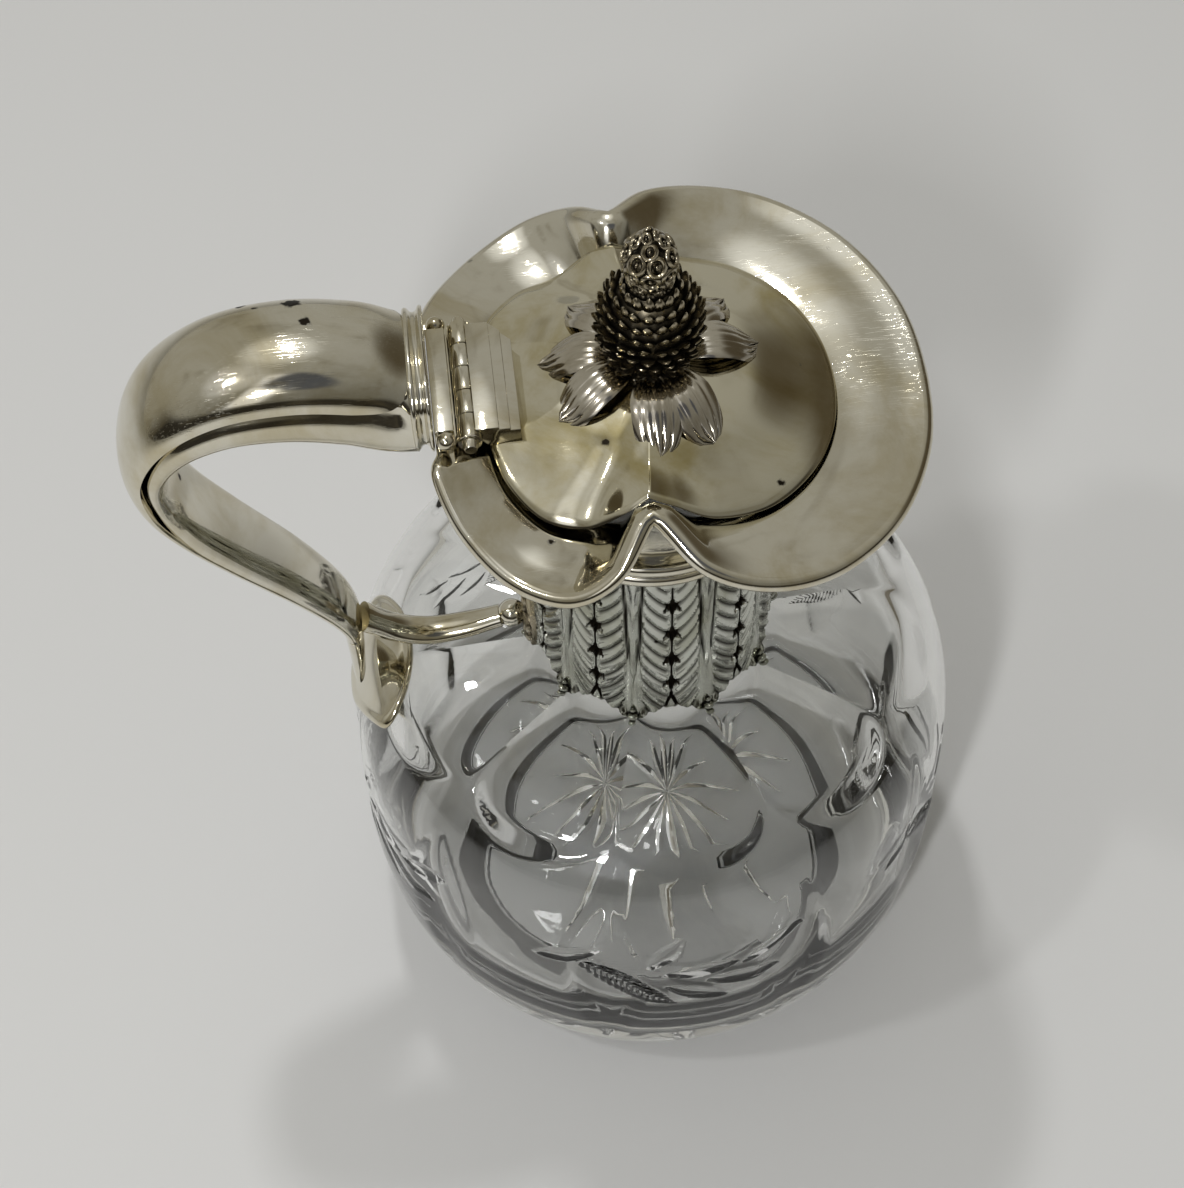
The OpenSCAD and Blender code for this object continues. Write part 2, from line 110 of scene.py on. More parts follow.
def lobed_outline(lobe, heel):
    """A closed outline from the tip by the pinch to the hinge and back, the same on both sides."""
    lobe, heel = raised(lobe), raised(heel)
    half = curve(lobe, flipped(lobe[1]), led(lobe[-1], lobe[-2]), OUTLINE_STEPS)
    half += curve(heel, led(heel[0], heel[1]), led(heel[-1], heel[-2]), OUTLINE_STEPS)
    x, y, z = heel[-1]
    half += [[x, y * (1 - i / OUTLINE_STEPS), z] for i in range(OUTLINE_STEPS + 1)]
    return half + [flipped(p) for p in half[-2:0:-1]]


def quarter(r0, r1, z0, z1, power, steps):
    """A quarter of a rounded square, from its widest point to its narrow end."""
    return [(r0 + (r1 - r0) * cos(pi / 2 * i / steps) ** (2 / power) if i < steps else r0,
        z0 + (z1 - z0) * sin(pi / 2 * i / steps) ** (2 / power)) for i in range(steps + 1)]


def bowed(t, power):
    """The same rounded square at a share of one side: 1 at its start and 0 at its end."""
    return (1 - min(1.0, t) ** power) ** (1 / power)


def evened(points, spacing):
    """The same open line with points at an even spacing."""
    out = [points[0]]
    left = spacing
    for a, b in zip(points, points[1:]):
        length = dist(a, b)
        while length >= left > 0:
            t = left / length
            a = [p + (q - p) * t for p, q in zip(a, b)]
            out.append(a)
            length -= left
            left = spacing
        left -= length
    if dist(out[-1], points[-1]) > spacing * 0.3:
        out.append(points[-1])
    else:
        out[-1] = points[-1]
    return out


def smoothstep(low, high, value):
    t = min(1.0, max(0.0, (value - low) / (high - low)))
    return t * t * (3 - 2 * t)


def loft(bm, rings, closed=True):
    """Draws the first ring and extrudes its edge from ring to ring. Returns the rows of vertices."""
    row = [bm.verts.new(p) for p in rings[0]]
    edges = [bm.edges.new(pair) for pair in zip(row, row[1:] + (row[:1] if closed else []))]
    rows = [row]
    for ring in rings[1:]:
        grown = bmesh.ops.extrude_edge_only(bm, edges=edges)["geom"]
        new = {g for g in grown if isinstance(g, bmesh.types.BMVert)}
        row = [next(e.other_vert(v) for e in v.link_edges if e.other_vert(v) in new) for v in row]
        for vert, place in zip(row, ring):
            vert.co = place
        edges = [e for e in {e for v in new for e in v.link_edges}
            if e.verts[0] in new and e.verts[1] in new]
        rows.append(row)
    return rows


def closed_in(bm, row):
    """Fills the flat end of a loft."""
    bmesh.ops.contextual_create(bm, geom=row)


def outward(bm):
    bmesh.ops.recalc_face_normals(bm, faces=bm.faces)


def solid(rings):
    """A solid through rings of points, closed at both ends."""
    bm = bmesh.new()
    rows = loft(bm, rings)
    closed_in(bm, rows[0])
    closed_in(bm, rows[-1])
    outward(bm)
    return bm


def ring_solid(sections):
    """A solid that runs through its sections and back to the first."""
    bm = bmesh.new()
    loft(bm, sections + [sections[0]])
    bmesh.ops.remove_doubles(bm, verts=bm.verts, dist=1e-4)
    outward(bm)
    return bm


def mesh_of(name, bm):
    mesh = bpy.data.meshes.new(name)
    bm.to_mesh(mesh)
    bm.free()
    return mesh


def in_scene(name, data):
    made = bpy.data.objects.new(name, data)
    bpy.context.scene.collection.objects.link(made)
    return made


def set_in(bm, part, places):
    """Sets copies of a small part into a mesh, one at each place."""
    mesh = mesh_of("part", part)
    for place in places:
        mesh.transform(place)
        bm.from_mesh(mesh)
        mesh.transform(place.inverted())
    bpy.data.meshes.remove(mesh)


def revolved(bm, profile, steps, turn=0.0, sectors=8):
    """Spins a profile of (radius, height) through a sector and repeats it round the upright axis."""
    part = bmesh.new()
    verts = [part.verts.new((r * cos(turn), r * sin(turn), z)) for r, z in profile]
    edges = [part.edges.new(pair) for pair in zip(verts, verts[1:])]
    bmesh.ops.spin(part, geom=verts + edges, cent=(0, 0, 0), axis=(0, 0, 1), dvec=(0, 0, 0),
        angle=tau / sectors, steps=steps // sectors, use_duplicate=False)
    set_in(bm, part, [Matrix.Rotation(tau * i / sectors, 4, "Z") for i in range(sectors)])
    bmesh.ops.remove_doubles(bm, verts=bm.verts, dist=1e-4)


def around(turn, reach=0.0, z=0.0, lean=0.0):
    """A place at a distance from the upright axis, leaning outward from upright."""
    return Matrix.Rotation(turn, 4, "Z") @ Matrix.Translation((reach, 0, z)) @ Matrix.Rotation(lean, 4, "Y")


def rounded(bm, width):
    """Rounds every edge that is sharper than 35 degrees."""
    sharp = [e for e in bm.edges if len(e.link_faces) == 2 and e.calc_face_angle(0) > radians(35)]
    bmesh.ops.bevel(bm, geom=sharp, offset=width, offset_type="OFFSET", segments=3, profile=0.5,
        affect="EDGES", clamp_overlap=True, material=-1)


def piece(name, bm, body, finish, stands_for, crease=38):
    """Makes a finished piece of a mesh in millimetres and hands it to its body."""
    bmesh.ops.scale(bm, vec=(MM, MM, MM), verts=bm.verts)
    mesh = mesh_of(name, bm)
    mesh.shade_smooth()
    mesh.set_sharp_from_angle(angle=radians(crease))
    mesh.materials.append(finish)
    made = in_scene(name, mesh)
    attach(made, body)
    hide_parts(*stands_for)


def eased(node, width):
    """The mesh of a plain CAD piece with its sharp edges eased."""
    bm = bmesh.new()
    bm.from_mesh(frame["nodes"][node].data)
    bmesh.ops.scale(bm, vec=(1 / MM,) * 3, verts=bm.verts)
    bmesh.ops.remove_doubles(bm, verts=bm.verts, dist=0.002)
    bmesh.ops.dissolve_limit(bm, angle_limit=radians(1.0), verts=bm.verts, edges=bm.edges,
        use_dissolve_boundaries=False, delimit=set())
    rounded(bm, width)
    return bm


# ---- finishes
def fill(tree, node, values):
    """Sets the sockets of a node, and links those whose value is another socket."""
    for key, value in values.items():
        if isinstance(value, bpy.types.NodeSocket):
            tree.links.new(value, node.inputs[key])
        else:
            node.inputs[key].default_value = value


def add(tree, kind, values, **settings):
    """Adds a shader node, with its settings and its socket values or links."""
    made = tree.nodes.new(kind)
    for key, value in settings.items():
        setattr(made, key, value)
    fill(tree, made, values)
    return made


def maths(tree, operation, a, b=0.0, c=0.0):
    return add(tree, "ShaderNodeMath", {0: a, 1: b, 2: c}, operation=operation).outputs[0]


def vectors(tree, operation, a, b):
    return add(tree, "ShaderNodeVectorMath", {0: a, 1: b}, operation=operation).outputs["Value"]


def mapped(tree, value, low, high, start=0.0, end=1.0):
    """A smooth ramp of a value."""
    values = {"Value": value, "From Min": low, "From Max": high, "To Min": start, "To Max": end}
    return add(tree, "ShaderNodeMapRange", values, interpolation_type="SMOOTHSTEP").outputs[0]


def mixed(tree, share, a, b):
    return add(tree, "ShaderNodeMix", {0: share, 6: a, 7: b}, data_type="RGBA").outputs[2]


def noise(tree, place, scale, detail, **more):
    values = {"Vector": place, "Scale": scale, "Detail": detail, **more}
    return add(tree, "ShaderNodeTexNoise", values).outputs[0]


def place_in(tree):
    return tree.nodes.new("ShaderNodeTexCoord").outputs["Object"]


def bump(tree, height, strength, depth):
    return add(tree, "ShaderNodeBump", {"Height": height, "Strength": strength, "Distance": depth}).outputs[0]


def new_finish(name):
    """A new material with its node tree and its shader."""
    made = bpy.data.materials.new(name)
    made.use_nodes = True
    return made, made.node_tree, made.node_tree.nodes["Principled BSDF"]


# Three crossing ways of wiping: how each is turned and stretched
WIPES = (((0.2, 0.1, 0.9), (110.0, 3000.0, 1500.0)), ((0.5, -0.3, 2.1), (150.0, 3400.0, 1800.0)),
    ((-0.4, 0.6, -0.5), (220.0, 3800.0, 2200.0)))


def silver_wear_group():
    """Tarnish, small dark spots and fine wiping scratches on old silver."""
    g = bpy.data.node_groups.new("silver_wear", "ShaderNodeTree")
    for side, keys in (("INPUT", ("Tarnish", "Scratches")),
            ("OUTPUT", ("Tarnished", "Spotted", "Haze", "Height"))):
        for key in keys:
            g.interface.new_socket(name=key, in_out=side, socket_type="NodeSocketFloat")
    given = g.nodes.new("NodeGroupInput").outputs
    place = place_in(g)
    clouds = noise(g, place, 34.0, 7.0, Roughness=0.62, Distortion=0.6)
    cells = add(g, "ShaderNodeTexVoronoi", {"Vector": place, "Scale": 95.0, "Randomness": 1.0}).outputs
    reach = maths(g, "SUBTRACT", cells["Distance"], maths(g, "MULTIPLY", noise(g, place, 900.0, 3.0), 0.1))
    lot = add(g, "ShaderNodeSeparateColor", {"Color": cells["Color"]}).outputs[0]
    lines = []
    for turn, scale in WIPES:
        way = add(g, "ShaderNodeMapping", {"Vector": place, "Rotation": turn, "Scale": scale}).outputs[0]
        lines.append(mapped(g, noise(g, way, 1.0, 2.0), 0.62, 0.72))
    wiped = maths(g, "MULTIPLY", maths(g, "ADD", maths(g, "ADD", *lines[:2]), lines[2]), given["Scratches"])
    wiped = maths(g, "MULTIPLY", wiped, mapped(g, noise(g, place, 22.0, 2.0), 0.42, 0.62, 0.15, 1.0))
    grain = mapped(g, noise(g, place, 160.0, 6.0), 0.3, 0.7)
    dents = noise(g, place, 70.0, 1.0)
    fill(g, g.nodes.new("NodeGroupOutput"), {
        "Tarnished": maths(g, "MULTIPLY", mapped(g, clouds, 0.4, 0.68), given["Tarnish"]),
        "Spotted": maths(g, "MULTIPLY", mapped(g, reach, 0.05, 0.0), maths(g, "GREATER_THAN", lot, 0.8)),
        "Haze": maths(g, "ADD", maths(g, "MULTIPLY", grain, 0.5), wiped),
        "Height": maths(g, "SUBTRACT", maths(g, "MULTIPLY", dents, 0.6), maths(g, "MULTIPLY", wiped, 0.1))})
    return g


WEAR = silver_wear_group()


def silver_finish(name, bright, dull, gloss=0.05, tarnish=0.75, scratches=0.4, hollows=None, shade_attribute=None,
        rubbed=None, rub=2.6, stains=()):
    """Polished silver with tarnish in broad clouds, darkened with painted shade in its hollows and where a
    mesh attribute says so.
    """
    made, tree, shader = new_finish(name)
    place = place_in(tree)
    if rubbed:
        scratches = mapped(tree, vectors(tree, "DISTANCE", place, rubbed), 0.042, 0.012, scratches, rub)
    wear = add(tree, "ShaderNodeGroup", {}, node_tree=WEAR)
    fill(tree, wear, {"Tarnish": tarnish, "Scratches": scratches})
    colour = mixed(tree, wear.outputs["Tarnished"], bright, dull)
    spotted = wear.outputs["Spotted"]
    if stains:
        ragged = noise(tree, place, 700.0, 4.0)
    for *middle, reach in stains:
        away = maths(tree, "MULTIPLY_ADD", ragged, reach * 1.6, vectors(tree, "DISTANCE", place, middle))
        spotted = maths(tree, "MAXIMUM", spotted, mapped(tree, away, reach * 1.75, reach * 1.35))
    colour = mixed(tree, spotted, colour, DARK)
    rough = maths(tree, "MULTIPLY_ADD", wear.outputs["Haze"], 0.13, gloss)
    rough = maths(tree, "MULTIPLY_ADD", spotted, 0.4, rough)
    # Painted shade: darker and rougher where ambient occlusion within the given reach finds hollows
    if hollows:
        occlusion_shade = add(tree, "ShaderNodeAmbientOcclusion", {"Distance": hollows * MM}, samples=8, only_local=True)
        hollow = mapped(tree, occlusion_shade.outputs["AO"], 0.9, 0.35)
        colour = mixed(tree, hollow, colour, DARK)
        rough = maths(tree, "MULTIPLY_ADD", hollow, 0.35, rough)
    # Painted shade from a mesh attribute: the colour goes dark and the surface rougher where it is set
    if shade_attribute:
        painted_shade = add(tree, "ShaderNodeAttribute", {}, attribute_name=shade_attribute).outputs["Fac"]
        colour = mixed(tree, mapped(tree, painted_shade, 0.15, 0.85), colour, DARK)
        rough = maths(tree, "MULTIPLY_ADD", painted_shade, 0.5, rough)
    fill(tree, shader, {"Metallic": 1.0, "Base Color": colour, "Roughness": rough,
        "Normal": bump(tree, wear.outputs["Height"], 0.6, 0.0001)})
    return made


DARK = (0.02, 0.016, 0.011, 1)
BRIGHT, DULL = (0.75, 0.72, 0.62, 1), (0.5, 0.43, 0.26, 1)
SILVER = silver_finish("old_silver", BRIGHT, DULL)
FLANGE_SILVER = silver_finish("wiped_silver", BRIGHT, DULL, scratches=0.6, rubbed=(0.052, 0.014, 0.186))
HANDLE_STAINS = ((-0.0676, 0.0089, 0.2135, 0.0021), (-0.0651, 0.0028, 0.2145, 0.0017),
    (-0.0775, 0.0115, 0.211, 0.0016), (-0.0745, 0.0085, 0.2125, 0.001))
HANDLE_SILVER = silver_finish("spotted_silver", BRIGHT, DULL, rubbed=(-0.078, 0.0, 0.212), rub=1.5,
    stains=HANDLE_STAINS)
LID_STAINS = ((0.0225, -0.0262, 0.188, 0.0012), (0.02, -0.0215, 0.189, 0.0005))
LID_SILVER = silver_finish("stained_silver", (0.74, 0.7, 0.56, 1), (0.5, 0.42, 0.2, 1), tarnish=0.95,
    stains=LID_STAINS)
# Painted shade on the collar: black in the piercings, darker in the groove and between the ribs, and darker in
# its hollows
PIERCED = silver_finish("pierced_silver", (0.58, 0.59, 0.54, 1), (0.3, 0.3, 0.22, 1), gloss=0.06,
    scratches=0.3, hollows=1.0, shade_attribute="painted_shade")
# Painted shade in the hollows of the leaves: between the ribs and under the arched leaves
LEAF_SILVER = silver_finish("leaf_silver", (0.62, 0.58, 0.5, 1), (0.34, 0.29, 0.2, 1), gloss=0.12, hollows=0.7)
# Painted shade in the hollows of the scales, petals and scrolls, over the dark oxide
OXIDISED = silver_finish("oxidised_silver", (0.42, 0.37, 0.27, 1), (0.16, 0.13, 0.08, 1), gloss=0.18,
    tarnish=0.8, hollows=1.5)


def glass_finish():
    made, tree, shader = new_finish("cut_glass")
    place = place_in(tree)
    grime = mapped(tree, noise(tree, place, 55.0, 5.0), 0.45, 0.8, 0.0, 0.05)
    fill(tree, shader, {"Base Color": (0.99, 0.995, 0.988, 1), "Transmission Weight": 1.0, "IOR": 1.53,
        "Roughness": grime, "Normal": bump(tree, noise(tree, place, 26.0, 1.0), 0.5, 0.0008)})
    return made


GLASS = glass_finish()


def plaster_finish():
    made, tree, shader = new_finish("neck_plaster")
    grains = noise(tree, place_in(tree), 300.0, 6.0)
    fill(tree, shader, {"Base Color": mixed(tree, grains, (0.6, 0.55, 0.46, 1), (0.82, 0.79, 0.7, 1)),
        "Roughness": mapped(tree, grains, 0.2, 0.8, 0.7, 0.95), "Normal": bump(tree, grains, 0.5, 0.0003)})
    return made


PLASTER = plaster_finish()


# ---- the glass
# The petals: their reach, the length of their round end and their depth
PETAL_REACH, PETAL_ROUND, PETAL_DEPTH = 63.5, 12.0, 2.0


def petal_scoop(r, turn):
    """Depth of the ten hollow petals cut side by side into the shoulder."""
    if not NECK_R + 1 < r < PETAL_REACH:
        return 0.0
    share = ((turn - PANEL_TURN) / tau * PANELS) % 1.0 - 0.5
    half = 0.5
    end = PETAL_REACH - PETAL_ROUND
    if r > end:
        half *= sqrt(max(0.0, 1 - ((r - end) / PETAL_ROUND) ** 2))
    if half < 1e-6 or abs(share) >= half:
        return 0.0
    along = smoothstep(NECK_R + 1, NECK_R + 9, r) * min(1.0, (PETAL_REACH - r) / 5.0)
    return PETAL_DEPTH * (1 - (share / half) ** 2) * along


# The star: its rays, how far long and short ones end before the edge of the recess, and its depth
STAR_POINTS, LONG_END, SHORT_END, STAR_DEPTH = 16, 3, 12, 2.4


def star_cut(x, y):
    """Depth of the star cut upward into the floor of the recess."""
    r = hypot(x, y)
    if r > RECESS_R - LONG_END or r < 0.3:
        return 1.6 if r < 0.3 else 0.0
    step = tau / STAR_POINTS
    turn = atan2(y, x) / step
    index = round(turn)
    reach = RECESS_R - (SHORT_END if index % 2 else LONG_END)
    deep = STAR_DEPTH * max(0.0, 1 - (r / reach) ** 2)
    return max(0.0, deep - abs(turn - index) * step * r * 0.9)


# The spray that is cut five times into the belly
SPRAYS, SPRAY_TURN, BELLY_R = 5, radians(-90), 69.0
# Its leaves, each by its middle (along, up), half length, half width and slant
HATCHED_LEAF = (-14.0, 55.0, 14.5, 4.6, radians(-40))
PLAIN_LEAVES = ((3.0, 62.0, 8.5, 2.9, radians(8)), (13.0, 54.5, 9.0, 3.0, radians(-12)),
    (2.0, 50.5, 8.0, 2.6, radians(-30)), (-27.0, 66.5, 8.0, 2.8, radians(25)),
    (-5.0, 71.0, 8.0, 2.7, radians(60)), (20.0, 66.0, 8.0, 2.8, radians(30)))
SCOOP_DEPTH, HATCH_DEPTH, HATCH_PITCH = 0.5, 0.42, 1.9
# The ten tall leaves between the petals and the spray: middle height, half height, half width and depth
TALL_LEAF_UP, TALL_LEAF_LONG, TALL_LEAF_WIDE, TALL_LEAF_DEPTH = 56.0, 34.0, 9.5, 1.1


def leaf_share(leaf, along, z):
    """Where a point lies in a pointed leaf: its places along and across, and how far inside from 0 to 1."""
    x, up, long, wide, slant = leaf
    a, b = along - x, z - up
    a, b = a * cos(slant) + b * sin(slant), b * cos(slant) - a * sin(slant)
    edge = wide * max(0.0, 1 - (a / long) ** 2)
    return a, b, (1 - abs(b) / edge if edge > abs(b) else 0.0)


def from_nearest(turn, start, count, radius):
    """The place along a circle from the nearest of a number of even divisions."""
    return (((turn - start) / tau * count + 0.5) % 1.0 - 0.5) * tau / count * radius


def spray_place(turn):
    return from_nearest(turn, SPRAY_TURN, SPRAYS, BELLY_R)


def spray_cut(turn, z):
    """Depth of the small leaves: scooped ones, and one with fine slanting strokes."""
    along = spray_place(turn)
    depth = max(SCOOP_DEPTH * sqrt(leaf_share(leaf, along, z)[2]) for leaf in PLAIN_LEAVES)
    a, b, inside = leaf_share(HATCHED_LEAF, along, z)
    if inside:
        stroke = 0.5 + 0.5 * sin(tau * (a - abs(b)) / HATCH_PITCH)
        depth = max(depth, HATCH_DEPTH * stroke * min(1.0, 3 * inside))
    return depth


def in_fine_leaf(turn, z):
    a, b, _ = leaf_share(HATCHED_LEAF, spray_place(turn), z)
    return abs(a) < HATCHED_LEAF[2] + 0.5 and abs(b) < HATCHED_LEAF[3] + 0.3


def in_plain_leaf(turn, z):
    along = spray_place(turn)
    return any(leaf_share((x, up, long + 1, wide + 1, slant), along, z)[2] > 0
        for x, up, long, wide, slant in PLAIN_LEAVES)


def belly_cut(turn, z):
    """Depth of the tall leaves cut into the belly."""
    x = from_nearest(turn, PANEL_TURN, PANELS, GLOBE_R)
    t = (z - TALL_LEAF_UP) / TALL_LEAF_LONG
    half = TALL_LEAF_WIDE * (1 - t * t)
    if abs(t) >= 1 or abs(x) >= half:
        return 0.0
    return TALL_LEAF_DEPTH * (half / TALL_LEAF_WIDE) * (1 - (x / half) ** 2)


def refined(bm, wanted, cuts):
    """Splits the faces on the outside of the belly whose middle is wanted."""
    faces = []
    for face in bm.faces:
        x, y, z = face.calc_center_median()
        if 30 < z < 85 and hypot(x, y) > max(GLOBE_R - 12, outside_at(z) - 0.6) and wanted(atan2(y, x), z):
            faces.append(face)
    edges = {e for face in faces for e in face.edges}
    bmesh.ops.subdivide_edges(bm, edges=list(edges), cuts=cuts, use_grid_fill=True)


def glass_globe():
    outer = quarter(FOOT_R, GLOBE_R, WIDEST, 0.0, HEEL_POWER, 60)[::-1]
    upper = quarter(ROOT_R, GLOBE_R, WIDEST, SHOULDER, SHOULDER_POWER, 120)
    root = [(ROOT_R - ROOT_FILLET * sin(a), SHOULDER + ROOT_FILLET * (1 - cos(a)))
        for a in [pi / 2 * i / 6 for i in range(1, 7)]]
    inside = (quarter(BORE_R, GLOBE_R - WALL, WIDEST, SHOULDER - WALL, SHOULDER_POWER, 26)[::-1]
        + quarter(FOOT_R - 10, GLOBE_R - WALL, WIDEST, FLOOR, HEEL_POWER, 22)[1:])
    profile = [(r, RECESS) for r in [0.0] + [0.8 + 1.28 * i for i in range(34)]]
    profile += [(RECESS_R + 0.6, 0.25), (RECESS_R + 1.2, 0.0)] + evened(outer + upper[1:], 1.1) + root
    profile += [(NECK_R, 130.0), (NECK_R, NECK_TOP), (BORE_R, NECK_TOP)] + inside
    profile += [(r, FLOOR) for r in (30.0, 18.0, 8.0, 0.0)]
    bm = bmesh.new()
    revolved(bm, profile, 320, PANEL_TURN, 2 * PANELS)
    refined(bm, in_plain_leaf, 1)
    refined(bm, in_fine_leaf, 2)
    bm.normal_update()
    for v in bm.verts:
        x, y, z = v.co
        r = hypot(x, y)
        turn = atan2(y, x)
        if abs(z - RECESS) < 0.01 and r < RECESS_R + 0.1:
            v.co.z += star_cut(*(Matrix.Rotation(-PANEL_TURN, 2) @ Vector((x, y))))
            continue
        on_shoulder = z > 80 and r > ROOT_R - 6 and z > shoulder_at(r) - 0.3
        depth = petal_scoop(r, turn) if on_shoulder and z < SHOULDER + 3 else 0.0
        if r > outside_at(z) - 0.3:
            depth = max(depth, belly_cut(turn, z) + (spray_cut(turn, z) if 40 < z < 82 else 0.0))
        if depth:
            side, up = outward_at(r, z)
            v.co -= Vector((side * x / r, side * y / r, up)) * depth
    outward(bm)
    piece("glass_globe", bm, "jug", GLASS, ["glass_body"], crease=30)


def shoulder_at(r):
    """Height of the outside of the shoulder at a radius."""
    share = max(0.0, r - ROOT_R) / (GLOBE_R - ROOT_R)
    return WIDEST + (SHOULDER - WIDEST) * bowed(share, SHOULDER_POWER)


def outside_at(z):
    """Radius of the outside of the globe at a height."""
    if z >= WIDEST:
        return ROOT_R + (GLOBE_R - ROOT_R) * bowed((z - WIDEST) / (SHOULDER - WIDEST), SHOULDER_POWER)
    return FOOT_R + (GLOBE_R - FOOT_R) * bowed((WIDEST - z) / WIDEST, HEEL_POWER)


def outward_at(r, z):
    """Outward direction (radial, up) of the globe's side at a point."""
    low, rise, power = FOOT_R, -WIDEST, HEEL_POWER
    if z >= WIDEST:
        low, rise, power = ROOT_R, SHOULDER - WIDEST, SHOULDER_POWER
    side = max(0.0, (r - low) / (GLOBE_R - low)) ** (power - 1) / (GLOBE_R - low)
    up = max(0.0, (z - WIDEST) / rise) ** (power - 1) / rise
    size = hypot(side, up) or 1.0
    return side / size, up / size


glass_globe()

# ---- mouth with its rolled edge
# Knots of the mouth and of the lid: [x, y, height above the tip]
MOUTH_LOBE = [[56, 0, 0], [53.5, 19, 0], [44.5, 36, 0.4], [31, 47, 1.4], [17, 50.4, 3.4], [4.5, 47.5, 7],
    [-4, 38.5, 12]]
MOUTH_HEEL = [[-4, 38.5, 12], [-11, 46.2, 5.4], [-21, 47.6, 0.6], [-32, 41, -0.8], [-40.5, 30, 2],
    [-44.6, 19, 6.4], [-43.2, 14.2, 6.8]]
LID_LOBE = [[37, 0, 0.2], [35.2, 12, 0.3], [29.5, 22.5, 0.5], [20, 30.3, 1], [9, 32.8, 2.6], [1, 32, 6.8],
    [-4, 31.3, 9.6]]
LID_HEEL = [[-4, 31.3, 9.6], [-9, 32.4, 6.4], [-16, 31.2, 1.2], [-24, 28.2, 1], [-30, 21, 3.2],
    [-32.8, 13, 5.6]]
# The mouth's wall: points across it, how far it rises straight, and how thin its edge gets at the hinge
MOUTH_STEPS, STRAIGHT, FLARE, THIN_ROLL = 16, 18, 6.4, 0.72


def inset(line, i, distance):
    """Point i of an outline, moved inward and kept level."""
    ahead, behind = Vector(line[(i + 1) % len(line)]), Vector(line[i - 1])
    way = (ahead - behind).normalized()
    inward = Vector((-way.y, way.x, 0)).normalized()
    return Vector(line[i]) + inward * distance, inward


def bezier(b, t):
    """The point at a share of a curve in the plane, and the direction there."""
    s = 1 - t
    at = [s ** 3 * b[0][k] + 3 * t * s * s * b[1][k] + 3 * t * t * s * b[2][k] + t ** 3 * b[3][k]
        for k in (0, 1)]
    way = [s * s * (b[1][k] - b[0][k]) + 2 * t * s * (b[2][k] - b[1][k]) + t * t * (b[3][k] - b[2][k])
        for k in (0, 1)]
    size = hypot(*way)
    return at, (way[0] / size, way[1] / size)


def placed(p, radius, z):
    r = hypot(p[0], p[1])
    return Vector((p[0] / r * radius, p[1] / r * radius, z))


def mouth_piece():
    line = lobed_outline(MOUTH_LOBE, MOUTH_HEEL)
    sections = []
    for i, p in enumerate(line):
        at_hinge = smoothstep(19.0, 13.0, abs(p[1])) if p[0] < 0 else 0.0
        roll = ROLL_R * (1 - THIN_ROLL * at_hinge)
        edge, _ = inset(line, i, 2 * roll + 0.3)
        core, inward = inset(line, i, roll)
        core.z -= roll * 0.7
        b = [(LINER_R - SHEET, MOUTH_LOW), (LINER_R - SHEET, MOUTH_LOW + STRAIGHT),
            (LINER_R + FLARE, edge.z + 1 - 0.28 * (edge.z - TIP)), (hypot(edge.x, edge.y), edge.z)]
        wall = [bezier(b, t / MOUTH_STEPS) for t in range(MOUTH_STEPS + 1)]
        section = [placed(edge, *at) for at, _ in wall]
        for a in range(100, -171, -18):
            section.append(core - inward * roll * cos(radians(a)) + Vector((0, 0, roll * sin(radians(a)))))
        section += [placed(edge, at[0] + way[1] * SHEET, at[1] - way[0] * SHEET) for at, way in wall[-2::-1]]
        sections.append(section)
    piece("mouth_with_rolled_edge", ring_solid(sections), "jug", FLANGE_SILVER, ["mouth_dish", "rim_wire"],
        crease=60)


mouth_piece()


# ---- lid
LID_HOLE, LID_DIP, LID_STEPS = 1.7, 0.75, 26


def lid_height(p, q):
    """Height of the top of the lid at the share q of the way out to its edge point."""
    dip = LID_DIP * sin(pi * min(1.0, max(0.0, (q - 0.5) / 0.5))) ** 2
    return LID_TOP - (LID_TOP - p[2]) * q ** 2.2 - dip


def lid_piece():
    sections = []
    for p in lobed_outline(LID_LOBE, LID_HEEL):
        reach = hypot(p[0], p[1])
        shares = [s / LID_STEPS * (1 - 0.4 / reach) for s in range(LID_STEPS + 1)]
        top = [(LID_HOLE + (reach - LID_HOLE) * q, lid_height(p, q)) for q in shares]
        sections.append([placed(p, r, z) for r, z in top] + [placed(p, reach, p[2] - SHEET / 2)]
            + [placed(p, r, z - SHEET) for r, z in top[::-1]])
    piece("lid_shell", ring_solid(sections), "lid", LID_SILVER, ["lid_dome"], crease=60)


lid_piece()


# ---- pierced collar
SLEEVE_COLUMNS, SLEEVE_ROWS = 48, 150
PANEL_W = tau * COLLAR_R / PANELS
STAR_HEIGHTS, STAR_HALF_W, STAR_HALF_H = (147.4, 136.8, 126.6, 116.8), 2.15, 3.1
RIB_PITCH, RIB_HEIGHT, GROOVE_W, PIERCED_R = 5.25, 0.95, 0.85, 25.2


def star_hole(x, z):
    """How far a point lies inside the piercings and the line that joins them, in millimetres."""
    inside = -9.0
    if 112 < z < 154.5:
        inside = 0.2 - abs(x)
    if 106.9 < z < 112.6:
        inside = max(inside, 0.45 - abs(abs(x) - 0.32 * max(0.0, 111.4 - z)))
    for height in STAR_HEIGHTS:
        u, v = x / STAR_HALF_W, (z - height) / STAR_HALF_H
        edge = 0.56 + 0.44 * abs(cos(3 * atan2(u, v))) ** 2.2
        inside = max(inside, 2.4 * (edge - hypot(u, v)))
    return inside


